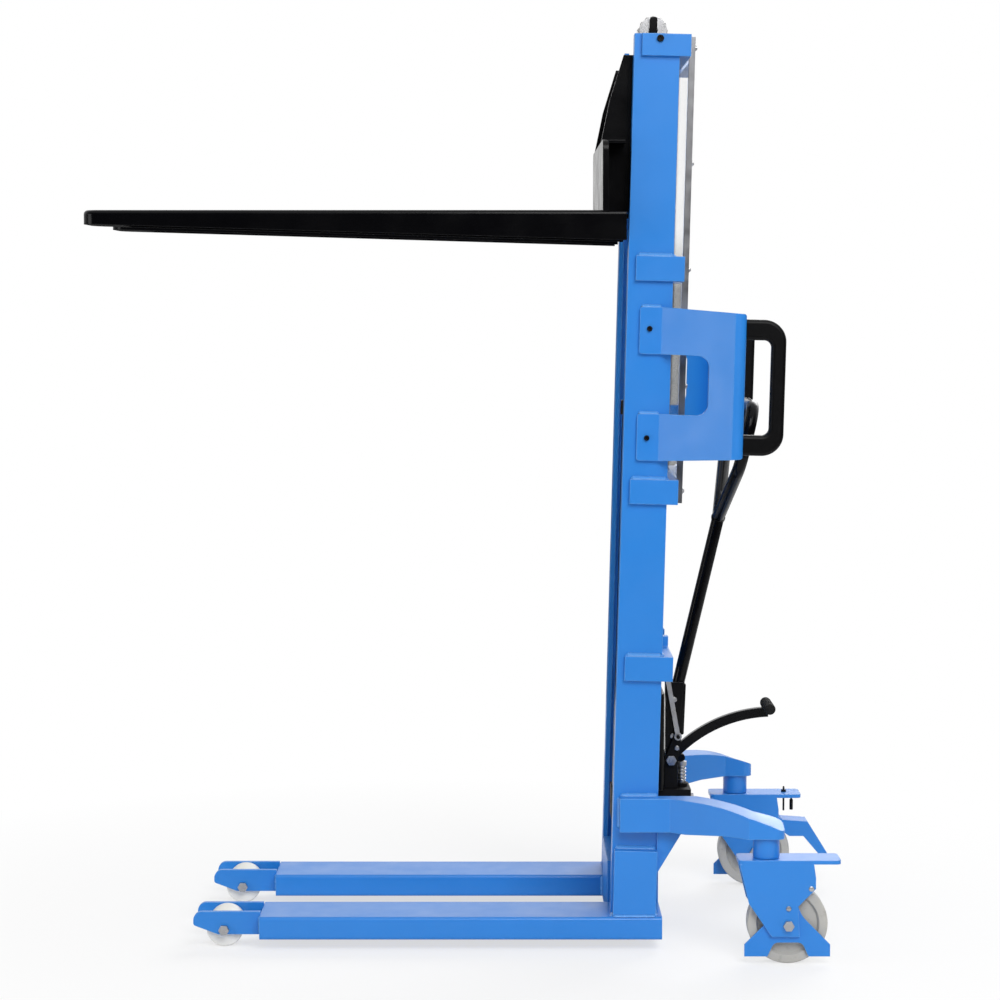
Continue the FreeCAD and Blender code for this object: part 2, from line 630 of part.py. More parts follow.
def roller_cheeks():
    """The two plates that hold one front roller, welded to the end of the leg."""
    tip = ROLLER_X - CHEEK_NOSE
    outline = [
        (LEG_FRONT, CHEEK_BOTTOM),
        (LEG_FRONT, CHEEK_TOP),
        (tip, CHEEK_TOP, CHEEK_NOSE_RADIUS),
        (tip, CHEEK_NOSE_LOW, CHEEK_TOE_RADIUS),
        (ROLLER_X - CHEEK_SLOPE, CHEEK_BOTTOM, CHEEK_TOE_RADIUS),
    ]
    bolt_hole = cross_rod(
        ROLLER_X, ROLLER_RADIUS, LEG_CENTRE - LEG_WIDTH, LEG_CENTRE + LEG_WIDTH,
        ROLLER_BOLT_RADIUS + BOLT_CLEARANCE,
    )
    plates = []
    for start in (-CHEEK_HALF_SPAN - CHEEK_THICK, CHEEK_HALF_SPAN):
        plate = side_prism(outline, LEG_CENTRE + start, LEG_CENTRE + start + CHEEK_THICK)
        plates.append(plate.cut(bolt_hole))
    return plates


def front_roller_axle():
    reach = CHEEK_HALF_SPAN + CHEEK_THICK
    return hex_bolt(
        ROLLER_X, ROLLER_RADIUS, LEG_CENTRE - reach, LEG_CENTRE + reach, ROLLER_BOLT_RADIUS, HEX_RADIUS
    )


def front_roller():
    """Load roller with eased edges."""
    low = LEG_CENTRE - ROLLER_WIDTH / 2.0
    high = LEG_CENTRE + ROLLER_WIDTH / 2.0
    body = cross_rod(ROLLER_X, ROLLER_RADIUS, low, high, ROLLER_RADIUS)
    rims = [e for e in body.Edges if isinstance(e.Curve, Part.Circle)]
    body = body.makeFillet(ROLLER_EDGE, rims)
    bore = cross_rod(ROLLER_X, ROLLER_RADIUS, low, high, ROLLER_BOLT_RADIUS + RUNNING_CLEARANCE)
    return body.cut(bore)


def above_legs(shape):
    """Trim a leaning mast piece level with the top of the legs."""
    below = box(-MAST_TOP, MAST_TOP, -MAST_TOP, MAST_TOP, -MAST_TOP, LEG_TOP)
    return shape.cut(below)


def upright():
    """Rolled channel that opens towards the middle of the mast."""
    inner = MAST_HALF_WIDTH - FLANGE_WIDTH
    web = MAST_HALF_WIDTH - WEB_THICK
    profile = [
        (0, MAST_HALF_WIDTH),
        (MAST_DEPTH, MAST_HALF_WIDTH),
        (MAST_DEPTH, inner),
        (MAST_DEPTH - FLANGE_THICK, inner),
        (MAST_DEPTH - FLANGE_THICK, web),
        (FLANGE_THICK, web),
        (FLANGE_THICK, inner),
        (0, inner),
    ]
    return above_legs(lean(plan_prism(profile, 0, MAST_TOP)))


def mast_shoe():
    """Welded box that ties the foot of the upright to the leg, open against the upright."""
    outer = MAST_HALF_WIDTH + SHOE_WIDTH
    shoe = box(SHOE_SETBACK, MAST_DEPTH, MAST_HALF_WIDTH, outer, 0, SHOE_TOP)
    hollow = box(
        SHOE_SETBACK + SHOE_WALL, MAST_DEPTH - SHOE_WALL,
        MAST_HALF_WIDTH, outer - SHOE_WALL, 0, SHOE_TOP - SHOE_WALL,
    )
    return above_legs(lean(shoe.cut(hollow)))


def cross_band(foot, height):
    """A bar across the back of the mast with a strap down each side."""
    rear = MAST_DEPTH + BAND_BAR
    bar = box(MAST_DEPTH, rear, -MAST_HALF_WIDTH, MAST_HALF_WIDTH, foot, foot + height)
    strap = box(BAND_FRONT, rear, MAST_HALF_WIDTH, MAST_HALF_WIDTH + BAND_THICK, foot, foot + height)
    return [lean(bar), lean(strap), mirrored(lean(strap))]


def base_beam():
    """Front plate, rear plate and pump shelf between the legs."""
    half = LEG_CENTRE - LEG_WIDTH / 2.0
    low = BEAM_TOP - BEAM_PLATE
    front = box(0, BEAM_PLATE, -half, half, LEG_BOTTOM, low)
    rear = box(LEG_REAR - BEAM_PLATE, LEG_REAR, -half, half, LEG_BOTTOM, low)
    shelf = box(0, LEG_REAR, -half, half, low, BEAM_TOP)
    tongue = box(LEG_REAR, SHELF_LENGTH, -SHELF_HALF_WIDTH, SHELF_HALF_WIDTH, low, BEAM_TOP)
    return [front, rear, shelf, tongue]


def arm_top(drop, fall):
    """Top line of the rear arm, level and then falling ever faster to the end, lowered by drop."""
    line = [(ARM_FRONT, ARM_TOP - drop)]
    for fold in range(ARM_FOLDS + 1):
        part_way = fold / ARM_FOLDS
        level = ARM_TOP - drop - fall * part_way ** 2
        line.append((ARM_SLOPE_START + part_way * ARM_SLOPE_LENGTH, level))
    return line


def under_arm_top(drop, foot):
    """Body between the top of the arm, lowered by drop, and a foot line; the top falls more outside."""
    wires = []
    for y, fall in ((MAST_HALF_WIDTH, ARM_INNER_FALL), (SWIVEL_Y + ARM_END_WIDTH / 2.0, ARM_FALL)):
        points = [at(x, y, z) for x, z in arm_top(drop, fall) + foot]
        wires.append(Part.makePolygon(points + points[:1]))
    return Part.makeLoft(wires, True, True)


def arm_body(drop):
    """The rear arm before it is cut to its plan; its underside rises a little behind the gusset."""
    foot = [(ARM_END, ARM_END_BOTTOM), (ARM_RISE_END, ARM_END_BOTTOM), (GUSSET_REACH, ARM_BOTTOM)]
    return under_arm_top(drop, foot + [(ARM_FRONT, ARM_BOTTOM)])


def arm_plan():
    outer = MAST_HALF_WIDTH + ARM_SIDE
    end_outer = SWIVEL_Y + ARM_END_WIDTH / 2.0
    end_inner = SWIVEL_Y - ARM_END_WIDTH / 2.0
    return [
        (ARM_FRONT, MAST_HALF_WIDTH),
        (ARM_INNER_BEND, MAST_HALF_WIDTH),
        (ARM_INNER_KNEE, end_inner),
        (ARM_END, end_inner, ARM_END_RADIUS),
        (ARM_END, end_outer, ARM_END_RADIUS),
        (ARM_KNEE, end_outer),
        (ARM_BEND, outer),
        (ARM_FRONT, outer),
    ]


def rear_arm():
    """Splayed folded arm, open underneath."""
    shell = plan_prism(arm_plan(), ARM_BOTTOM, ARM_TOP).common(arm_body(0))
    corners = [(at(p[0], p[1], ARM_BOTTOM), p[2] if len(p) > 2 else 0) for p in arm_plan()]
    floor = Part.Face(Part.Wire(rounded_edges(corners, True))).makeOffset2D(-ARM_WALL)
    hollow = floor.extrude(V(0, 0, ARM_TOP - ARM_BOTTOM))
    return shell.cut(hollow.common(arm_body(ARM_WALL)))


def mast_rear_x(z):
    """X of the leaning back face of the mast at height z."""
    return MAST_DEPTH / math.cos(LEAN) + z * math.tan(LEAN)


def gusset():
    """Triangle between the mast shoe and the underside of the arm."""
    outline = [
        (mast_rear_x(GUSSET_FOOT), GUSSET_FOOT),
        (GUSSET_REACH, ARM_BOTTOM),
        (mast_rear_x(ARM_BOTTOM), ARM_BOTTOM),
    ]
    return side_prism(outline, MAST_HALF_WIDTH, MAST_HALF_WIDTH + GUSSET_THICK)


def swivel_post():
    """Bearing housing under the arm end, bored for the kingpin."""
    post = rod(at(SWIVEL_X, SWIVEL_Y, POST_BOTTOM), at(SWIVEL_X, SWIVEL_Y, ARM_TOP), POST_RADIUS)
    post = post.common(under_arm_top(ARM_WALL, [(ARM_END, POST_BOTTOM), (ARM_FRONT, POST_BOTTOM)]))
    bore_top = KINGPIN_TOP + SEAT_CLEARANCE
    bore = rod(
        at(SWIVEL_X, SWIVEL_Y, POST_BOTTOM), at(SWIVEL_X, SWIVEL_Y, bore_top),
        KINGPIN_RADIUS + RUNNING_CLEARANCE,
    )
    return post.cut(bore)


def caster_side(points):
    """Move a caster outline, given from the swivel axis, to the mast foot frame."""
    return [(SWIVEL_X + p[0],) + tuple(p[1:]) for p in points]


def caster_fork():
    """Top plate with kingpin and two cheeks that taper down to the wheel axle."""
    half = CHEEK_HALF_GAP + CASTER_CHEEK
    low = CASTER_PLATE_TOP - CASTER_PLATE_THICK
    fork = plan_prism(
        [
            (SWIVEL_X - CASTER_PLATE_FRONT, SWIVEL_Y - half, CASTER_PLATE_CORNER),
            (SWIVEL_X + CASTER_PLATE_REAR, SWIVEL_Y - half, CASTER_PLATE_CORNER),
            (SWIVEL_X + CASTER_PLATE_REAR, SWIVEL_Y + half, CASTER_PLATE_CORNER),
            (SWIVEL_X - CASTER_PLATE_FRONT, SWIVEL_Y + half, CASTER_PLATE_CORNER),
        ],
        low, CASTER_PLATE_TOP,
    )
    outline = caster_side([
        (-CHEEK_TOP_FRONT, low),
        (-CHEEK_FRONT_WAIST_X, CHEEK_FRONT_WAIST_Z),
        (CHEEK_FOOT_FRONT, CHEEK_LOW),
        (CHEEK_FOOT_REAR, CHEEK_LOW),
        (CHEEK_WAIST_X, CHEEK_WAIST_Z),
        (CHEEK_LOBE_X, CHEEK_LOBE_LOW),
        (CHEEK_LOBE_X, CHEEK_LOBE_HIGH),
        (CHEEK_TOP_REAR, low),
    ])
    for start in (-half, CHEEK_HALF_GAP):
        fork = fork.fuse(side_prism(outline, SWIVEL_Y + start, SWIVEL_Y + start + CASTER_CHEEK))
    kingpin = rod(at(SWIVEL_X, SWIVEL_Y, low), at(SWIVEL_X, SWIVEL_Y, KINGPIN_TOP), KINGPIN_RADIUS)
    fork = fork.fuse(kingpin).removeSplitter()
    span = (SWIVEL_Y - half, SWIVEL_Y + half)
    fork = fork.cut(cross_rod(WHEEL_X, WHEEL_RADIUS, *span, ROLLER_BOLT_RADIUS + BOLT_CLEARANCE))
    pin_hole = BRAKE_PIN_RADIUS + BOLT_CLEARANCE
    return fork.cut(cross_rod(SWIVEL_X + BRAKE_PIVOT_X, BRAKE_PIVOT_Z, *span, pin_hole))


def toe_guard():
    """Plate inside the outer cheek that spreads out just above the floor."""
    wing = TOE_BOTTOM + TOE_WING
    arch = TOE_BOTTOM + TOE_ARCH_HEIGHT
    outline = [
        (WHEEL_X - TOE_FRONT, TOE_BOTTOM),
        (WHEEL_X - TOE_ARCH_HALF, TOE_BOTTOM),
        (WHEEL_X - TOE_ARCH_TOP_HALF, arch, TOE_ARCH_RADIUS),
        (WHEEL_X + TOE_ARCH_TOP_HALF, arch, TOE_ARCH_RADIUS),
        (WHEEL_X + TOE_ARCH_HALF, TOE_BOTTOM),
        (WHEEL_X + TOE_REAR, TOE_BOTTOM),
        (WHEEL_X + TOE_REAR, wing),
        (WHEEL_X + TOE_REAR_SHOULDER, TOE_REAR_SHOULDER_Z, TOE_HOLLOW_RADIUS),
        (WHEEL_X + TOE_STEM_HALF, TOE_STEM_TOP),
        (WHEEL_X - TOE_STEM_HALF, TOE_STEM_TOP),
        (WHEEL_X - TOE_FRONT_SHOULDER, WHEEL_RADIUS, TOE_HOLLOW_RADIUS),
        (WHEEL_X - TOE_FRONT, wing),
    ]
    span = (SWIVEL_Y + CHEEK_HALF_GAP - TOE_THICK, SWIVEL_Y + CHEEK_HALF_GAP)
    plate = side_prism(outline, *span)
    return plate.cut(cross_rod(WHEEL_X, WHEEL_RADIUS, *span, ROLLER_BOLT_RADIUS + BOLT_CLEARANCE))


def caster_wheel():
    """Solid wheel with a dished web, turned about its axle."""
    half = WHEEL_WIDTH / 2.0
    hub = WHEEL_HUB_WIDTH / 2.0
    rim = WHEEL_RADIUS - WHEEL_RIM
    web = half - WHEEL_RECESS
    bore = ROLLER_BOLT_RADIUS + RUNNING_CLEARANCE
    profile = [
        (bore, -hub), (WHEEL_HUB_RADIUS, -hub), (WHEEL_HUB_RADIUS + WHEEL_EDGE, -web),
        (rim - WHEEL_EDGE, -web), (rim, -half),
        (WHEEL_RADIUS, -half, WHEEL_EDGE), (WHEEL_RADIUS, half, WHEEL_EDGE), (rim, half),
        (rim - WHEEL_EDGE, web), (WHEEL_HUB_RADIUS + WHEEL_EDGE, web), (WHEEL_HUB_RADIUS, hub), (bore, hub),
    ]
    corners = []
    for point in profile:
        radius = point[2] if len(point) > 2 else 0
        corners.append((at(WHEEL_X, SWIVEL_Y + point[1], WHEEL_RADIUS + point[0]), radius))
    face = Part.Face(Part.Wire(rounded_edges(corners, True)))
    return face.revolve(at(WHEEL_X, SWIVEL_Y, WHEEL_RADIUS), V(0, 1, 0), 360)


def wheel_axle():
    """Bolt through both cheeks, with a collar that fills the gap beside the inner cheek."""
    half = CHEEK_HALF_GAP + CASTER_CHEEK
    bolt = hex_bolt(WHEEL_X, WHEEL_RADIUS, SWIVEL_Y - half, SWIVEL_Y + half, ROLLER_BOLT_RADIUS, HEX_RADIUS)
    collar_end = SWIVEL_Y - WHEEL_HUB_WIDTH / 2.0 - SIDE_CLEARANCE
    collar = cross_rod(WHEEL_X, WHEEL_RADIUS, SWIVEL_Y - CHEEK_HALF_GAP, collar_end, AXLE_COLLAR)
    return bolt.fuse(collar).removeSplitter()


def brake_outline(drop):
    """Side view of the brake pedal; drop moves it down and forward for the hollow underneath."""
    points = [
        (BRAKE_PIVOT_X - BRAKE_EYE, BRAKE_PIVOT_Z - BRAKE_EYE),
        (BRAKE_PIVOT_X - BRAKE_EYE, BRAKE_NOSE_Z),
        (BRAKE_PIVOT_X, BRAKE_NOSE_Z),
        (BRAKE_BROW_X, BRAKE_BROW_Z),
        (BRAKE_SHOULDER_X, BRAKE_TOP_Z),
        (BRAKE_TIP_X, BRAKE_TIP_Z),
        (BRAKE_TIP_X - BRAKE_TREAD, BRAKE_TIP_Z),
        (BRAKE_SHOULDER_X - BRAKE_EYE, BRAKE_LOW_Z),
        (BRAKE_HEEL_X, BRAKE_LOW_Z),
    ]
    return caster_side([(p[0] - drop, p[1] - drop) for p in points])


def brake_pedal():
    """Folded pedal, hollow underneath, with a shoe between its sides that faces the tread."""
    pedal = side_prism(brake_outline(0), SWIVEL_Y - BRAKE_HALF_WIDTH, SWIVEL_Y + BRAKE_HALF_WIDTH)
    inner = BRAKE_HALF_WIDTH - BRAKE_SIDE
    span = (SWIVEL_Y - inner, SWIVEL_Y + inner)
    shoe_face = WHEEL_RADIUS + SHOE_GAP
    ring = cross_rod(WHEEL_X, WHEEL_RADIUS, *span, shoe_face + SHOE_THICK)
    ring = ring.cut(cross_rod(WHEEL_X, WHEEL_RADIUS, *span, shoe_face))
    behind = box(WHEEL_X, BRAKE_REACH, *span, BRAKE_TIP_Z, BRAKE_PIVOT_Z - SHOE_DROP)
    shoe = ring.common(side_prism(brake_outline(0), *span)).common(behind)
    pedal = pedal.cut(side_prism(brake_outline(BRAKE_SKIN), *span)).fuse(shoe).removeSplitter()
    eye = BRAKE_PIN_RADIUS + RUNNING_CLEARANCE
    hole = cross_rod(
        SWIVEL_X + BRAKE_PIVOT_X, BRAKE_PIVOT_Z, SWIVEL_Y - BRAKE_HALF_WIDTH, SWIVEL_Y + BRAKE_HALF_WIDTH, eye
    )
    return pedal.cut(hole)


def brake_pins():
    """Two short pivot pins, one through each cheek lobe."""
    half = CHEEK_HALF_GAP + CASTER_CHEEK
    inner = BRAKE_HALF_WIDTH - BRAKE_SIDE
    x = SWIVEL_X + BRAKE_PIVOT_X
    pins = []
    for side in (-1, 1):
        ends = sorted((SWIVEL_Y + side * inner, SWIVEL_Y + side * half))
        pins.append(cross_rod(x, BRAKE_PIVOT_Z, *ends, BRAKE_PIN_RADIUS))
    return pins


def mast_rod(z0, z1, radius):
    """An upright round bar on the cylinder axis, before leaning."""
    return rod(at(MAST_MID, 0, z0), at(MAST_MID, 0, z1), radius)


def cylinder_barrel():
    barrel = mast_rod(BARREL_FOOT, BARREL_TOP, BARREL_RADIUS)
    bore = mast_rod(BARREL_FOOT + BARREL_WALL, BARREL_TOP, BARREL_RADIUS - BARREL_WALL)
    return lean(barrel.cut(bore))


def cylinder_gland():
    """Cap screwed over the barrel, bored for the rod."""
    gland = mast_rod(GLAND_FOOT, GLAND_TOP, GLAND_RADIUS)
    gland = gland.cut(mast_rod(GLAND_FOOT, BARREL_TOP, BARREL_RADIUS))
    return lean(gland.cut(mast_rod(BARREL_TOP, GLAND_TOP, ROD_RADIUS + RUNNING_CLEARANCE)))


def piston_rod():
    piston = mast_rod(
        PISTON_TOP - PISTON_HEIGHT, PISTON_TOP, BARREL_RADIUS - BARREL_WALL - RUNNING_CLEARANCE
    )
    return lean(piston.fuse(mast_rod(PISTON_TOP - PISTON_HEIGHT, YOKE_BOTTOM, ROD_RADIUS)).removeSplitter())


def sheave_half_width():
    return CHAIN_WIDTH / 2.0 + SHEAVE_SIDE_GAP + SHEAVE_FLANGE


def sheave_yoke():
    """Crosshead on the rod with two arms and a short axle for each sheave."""
    yoke = box(
        MAST_MID - YOKE_HALF_DEPTH, MAST_MID + YOKE_HALF_DEPTH,
        -YOKE_HALF_WIDTH, YOKE_HALF_WIDTH, YOKE_BOTTOM, YOKE_TOP,
    )
    half_arm = YOKE_ARM_WIDTH / 2.0
    gap = sheave_half_width() + YOKE_ARM_GAP
    for centre in (-SHEAVE_Y, SHEAVE_Y):
        for start in (centre - gap - YOKE_ARM_THICK, centre + gap):
            arm = [
                (MAST_MID - half_arm, YOKE_TOP),
                (MAST_MID - half_arm, YOKE_ARM_TOP, YOKE_ARM_CORNER),
                (MAST_MID + half_arm, YOKE_ARM_TOP, YOKE_ARM_CORNER),
                (MAST_MID + half_arm, YOKE_TOP),
            ]
            yoke = yoke.fuse(side_prism(arm, start, start + YOKE_ARM_THICK))
        reach = gap + YOKE_ARM_THICK
        yoke = yoke.fuse(cross_rod(MAST_MID, SHEAVE_Z, centre - reach, centre + reach, YOKE_AXLE_RADIUS))
    return lean(yoke.removeSplitter())


def chain_sheaves():
    """Two grooved wheels on one axis."""
    half = sheave_half_width()
    groove = CHAIN_WIDTH / 2.0 + SHEAVE_SIDE_GAP
    root = CHAIN_RADIUS - CHAIN_DEPTH / 2.0 - SEAT_CLEARANCE
    wheels = []
    for centre in (-SHEAVE_Y, SHEAVE_Y):
        wheel = cross_rod(MAST_MID, SHEAVE_Z, centre - half, centre + half, SHEAVE_RADIUS)
        ring = cross_rod(MAST_MID, SHEAVE_Z, centre - groove, centre + groove, SHEAVE_RADIUS)
        ring = ring.cut(cross_rod(MAST_MID, SHEAVE_Z, centre - groove, centre + groove, root))
        bore_radius = YOKE_AXLE_RADIUS + RUNNING_CLEARANCE
        bore = cross_rod(MAST_MID, SHEAVE_Z, centre - half, centre + half, bore_radius)
        wheels.append(lean(wheel.cut(ring).cut(bore)))
    return wheels


def chain_run(x, z0, z1):
    """Straight stretch of leaf chain in side view: wide at each pin, narrow between."""
    pitches = max(1, round((z1 - z0) / CHAIN_PITCH))
    step = (z1 - z0) / pitches
    wide = CHAIN_DEPTH / 2.0
    waist = CHAIN_WAIST / 2.0
    quarter = step / 4.0
    front = []
    for index in range(pitches):
        z = z0 + index * step
        front += [(z, wide), (z + quarter, wide), (z + 2 * quarter, waist), (z + 3 * quarter, wide)]
    front.append((z1, wide))
    points = [(x - depth, z) for z, depth in front] + [(x + depth, z) for z, depth in reversed(front)]
    half = CHAIN_WIDTH / 2.0
    run = side_prism(points, SHEAVE_Y - half, SHEAVE_Y + half)
    return [lean(run), mirrored(lean(run))]


def chain_arcs():
    """Half turns of chain over the sheaves."""
    half = CHAIN_WIDTH / 2.0
    outer = cross_rod(MAST_MID, SHEAVE_Z, SHEAVE_Y - half, SHEAVE_Y + half, CHAIN_RADIUS + CHAIN_DEPTH / 2.0)
    inner = cross_rod(MAST_MID, SHEAVE_Z, SHEAVE_Y - half, SHEAVE_Y + half, CHAIN_RADIUS - CHAIN_DEPTH / 2.0)
    below = box(-MAST_DEPTH, 2 * MAST_DEPTH, 0, 2 * SHEAVE_Y, SHEAVE_Z - MAST_DEPTH, SHEAVE_Z)
    arc = lean(outer.cut(inner).cut(below))
    return [arc, mirrored(arc)]


def rear_chain_anchors():
    """Lugs on the lower cross band that hold the fixed chain ends."""
    half = LUG_WIDTH / 2.0
    front = MAST_MID + CHAIN_RADIUS - CHAIN_DEPTH
    foot = LOWER_BAND_FOOT + BAND_HEIGHT
    lug = box(front, MAST_DEPTH + BAND_BAR, SHEAVE_Y - half, SHEAVE_Y + half, foot, REAR_ANCHOR_Z)
    return [lean(lug), mirrored(lean(lug))]


def fork():
    """Inverted trough with a tapering side and a closed nose."""
    low = LEG_CENTRE - FORK_WIDTH / 2.0
    high = LEG_CENTRE + FORK_WIDTH / 2.0
    rear = HEEL_X + FORK_HEEL_DEPTH
    side = [
        (TIP_X, FORK_TOP - FORK_TIP_THICK),
        (rear, FORK_TOP - FORK_HEEL_THICK),
        (rear, FORK_TOP),
        (TIP_X, FORK_TOP),
    ]
    plan = [
        (TIP_X, low, FORK_NOSE_RADIUS),
        (rear, low),
        (rear, high),
        (TIP_X, high, FORK_NOSE_RADIUS),
    ]
    block = plan_prism(plan, FORK_TOP - FORK_HEEL_THICK, FORK_TOP)
    top_edges = []
    for edge in block.Edges:
        level = edge.BoundBox.ZMin > FORK_TOP - TOUCH
        lengthwise = edge.BoundBox.YLength < TOUCH
        if level and lengthwise:
            top_edges.append(edge)
    block = block.makeFillet(FORK_EDGE_RADIUS, top_edges)
    blade = block.common(side_prism(side, low, high))
    hollow = box(
        TIP_X + FORK_NOSE, rear, low + FORK_WALL, high - FORK_WALL,
        FORK_TOP - FORK_HEEL_THICK, FORK_TOP - FORK_SKIN,
    )
    seat = box(HEEL_X - SEAT_CLEARANCE, rear, low, high, PLATE_FOOT, FORK_TOP)
    return blade.cut(hollow).cut(seat)


def carriage_plate():
    """Upright plate across both fork heels, with a lip behind its top between and outside the webs."""
    half = LEG_CENTRE + FORK_WIDTH / 2.0
    rear = HEEL_X + PLATE_THICK
    plate = box(HEEL_X, rear, -half, half, PLATE_FOOT, PLATE_TOP)
    corners = []
    for edge in plate.Edges:
        if abs(edge.Length - PLATE_THICK) < TOUCH and edge.BoundBox.ZMin > PLATE_TOP - TOUCH:
            corners.append(edge)
    lip_foot = PLATE_TOP - PLATE_FLANGE_THICK
    end = half - PLATE_CORNER
    middle = box(rear, rear + PLATE_FLANGE, -CARRIAGE_WEB_INNER, CARRIAGE_WEB_INNER, lip_foot, PLATE_TOP)
    right = box(rear, rear + PLATE_FLANGE, CARRIAGE_WEB_OUTER, end, lip_foot, PLATE_TOP)
    return [plate.makeFillet(PLATE_CORNER, corners), middle, right, mirrored(right)]


def carriage_web():
    """Side plate that runs into the mast, with a stub for each track roller."""
    outline = [
        (HEEL_X + PLATE_THICK, PLATE_FOOT),
        (HEEL_X + PLATE_THICK, PLATE_TOP),
        (HEEL_X, PLATE_TOP),
        (HEEL_X + CARRIAGE_KNEE_X, CARRIAGE_KNEE_Z),
        (HEEL_X + CARRIAGE_BROW_X, CARRIAGE_TOP),
        (CARRIAGE_TOP * math.tan(LEAN) + CARRIAGE_WEB_REAR, CARRIAGE_TOP),
        (PLATE_FOOT * math.tan(LEAN) + CARRIAGE_WEB_REAR, PLATE_FOOT),
    ]
    web = side_prism(outline, CARRIAGE_WEB_INNER, CARRIAGE_WEB_OUTER)
    stub_end = MAST_HALF_WIDTH - WEB_THICK - SIDE_CLEARANCE
    for z in (LOWER_ROLLER_Z, UPPER_ROLLER_Z):
        web = web.fuse(lean(cross_rod(MAST_MID, z, CARRIAGE_WEB_INNER, stub_end, TRACK_STUB_RADIUS)))
    return web.removeSplitter()


def track_rollers(z):
    """The pair of rollers at one height, left and right on one axis."""
    outer = MAST_HALF_WIDTH - WEB_THICK - 2 * SIDE_CLEARANCE
    inner = outer - TRACK_ROLLER_WIDTH
    roller = cross_rod(MAST_MID, z, inner, outer, TRACK_ROLLER_RADIUS)
    roller = roller.cut(cross_rod(MAST_MID, z, inner, outer, TRACK_STUB_RADIUS + RUNNING_CLEARANCE))
    return [lean(roller), mirrored(lean(roller))]


def carriage_crossbars():
    """Lower bar with the chain lugs, and upper bar."""
    lower_top = FRONT_ANCHOR_Z
    lower = box(
        -CROSSBAR_DEPTH, 0, -CARRIAGE_WEB_INNER, CARRIAGE_WEB_INNER, lower_top - CROSSBAR_HEIGHT, lower_top
    )
    half = LUG_WIDTH / 2.0
    for centre in (-SHEAVE_Y, SHEAVE_Y):
        lug = box(0, LUG_REAR, centre - half, centre + half, lower_top - ANCHOR_HEIGHT, lower_top)
        lower = lower.fuse(lug)
    upper = box(
        -CROSSBAR_DEPTH, 0, -CARRIAGE_WEB_INNER, CARRIAGE_WEB_INNER,
        UPPER_CROSSBAR_Z, UPPER_CROSSBAR_Z + CROSSBAR_HEIGHT,
    )
    return [lean(lower.removeSplitter()), lean(upper)]


def pump_manifold():
    """Block that carries the cylinder and the pump plunger."""
    outline = [
        (MANIFOLD_FOOT_FRONT, BEAM_TOP),
        (MANIFOLD_FOOT_FRONT, MANIFOLD_WAIST_Z),
        (MANIFOLD_FRONT, MANIFOLD_WAIST_Z),
        (MANIFOLD_FRONT, MANIFOLD_TOP),
        (MANIFOLD_REAR, MANIFOLD_TOP),
        (MANIFOLD_REAR, MANIFOLD_WAIST_Z),
        (MANIFOLD_FOOT_REAR, MANIFOLD_WAIST_Z),
        (MANIFOLD_FOOT_REAR, BEAM_TOP),
    ]
    block = side_prism(outline, -MANIFOLD_HALF_WIDTH, MANIFOLD_HALF_WIDTH)
    block = block.cut(lean(mast_rod(BARREL_FOOT, BARREL_TOP, BARREL_RADIUS)))
    well = PLUNGER_FOOT - PLUNGER_STROKE - SIDE_CLEARANCE
    bore = rod(at(PLUNGER_X, 0, well), at(PLUNGER_X, 0, MANIFOLD_TOP), PLUNGER_RADIUS + RUNNING_CLEARANCE)
    return block.cut(bore)


def oil_reservoir():
    half = RESERVOIR_HALF_WIDTH
    rear = RESERVOIR_FRONT + RESERVOIR_DEPTH
    return plan_prism(
        [
            (RESERVOIR_FRONT, -half, RESERVOIR_CORNER),
            (rear, -half, RESERVOIR_CORNER),
            (rear, half, RESERVOIR_CORNER),
            (RESERVOIR_FRONT, half, RESERVOIR_CORNER),
        ],
        MANIFOLD_TOP, RESERVOIR_TOP,
    )


def pump_body():
    """Two ears for the rocker pin, the left one with a horn for the release lever, and the plunger sleeve."""
    ear_outline = [
        (ROCKER_X - EAR_RADIUS, MANIFOLD_TOP),
        (ROCKER_X + EAR_RADIUS, MANIFOLD_TOP),
        (ROCKER_X + EAR_RADIUS, ROCKER_Z + EAR_RADIUS, EAR_CORNER),
        (ROCKER_X - EAR_RADIUS, ROCKER_Z + EAR_RADIUS, EAR_CORNER),
    ]
    horn_outline = [
        (ROCKER_X - EAR_RADIUS, ROCKER_Z),
        (ROCKER_X + EAR_RADIUS, ROCKER_Z),
        (RELEASE_PIVOT_X + RELEASE_EYE, RELEASE_PIVOT_Z),
        (RELEASE_PIVOT_X - RELEASE_EYE, RELEASE_PIVOT_Z),
    ]
    pin_hole = cross_rod(
        ROCKER_X, ROCKER_Z, -MANIFOLD_HALF_WIDTH, MANIFOLD_HALF_WIDTH, ROCKER_PIN_RADIUS + BOLT_CLEARANCE
    )
    ear = side_prism(ear_outline, EAR_INNER, EAR_INNER + EAR_THICK)
    right = ear.cut(pin_hole)
    start = -EAR_INNER - EAR_THICK
    horn = side_prism(horn_outline, start, -EAR_INNER)
    horn = horn.fuse(cross_rod(RELEASE_PIVOT_X, RELEASE_PIVOT_Z, start, -EAR_INNER, RELEASE_EYE))
    left = mirrored(ear).fuse(horn).removeSplitter().cut(pin_hole)
    release_pin = cross_rod(
        RELEASE_PIVOT_X, RELEASE_PIVOT_Z, start - RELEASE_PIN_LENGTH, start, RELEASE_PIN_RADIUS
    )
    left = left.fuse(release_pin)
    sleeve = rod(at(PLUNGER_X, 0, MANIFOLD_TOP), at(PLUNGER_X, 0, SLEEVE_TOP), SLEEVE_RADIUS)
    bore = rod(
        at(PLUNGER_X, 0, MANIFOLD_TOP), at(PLUNGER_X, 0, SLEEVE_TOP), PLUNGER_RADIUS + RUNNING_CLEARANCE
    )
    return [right, left, sleeve.cut(bore)]


def rocker_pin():
    reach = EAR_INNER + EAR_THICK
    return hex_bolt(ROCKER_X, ROCKER_Z, -reach, reach, ROCKER_PIN_RADIUS, HEX_RADIUS)


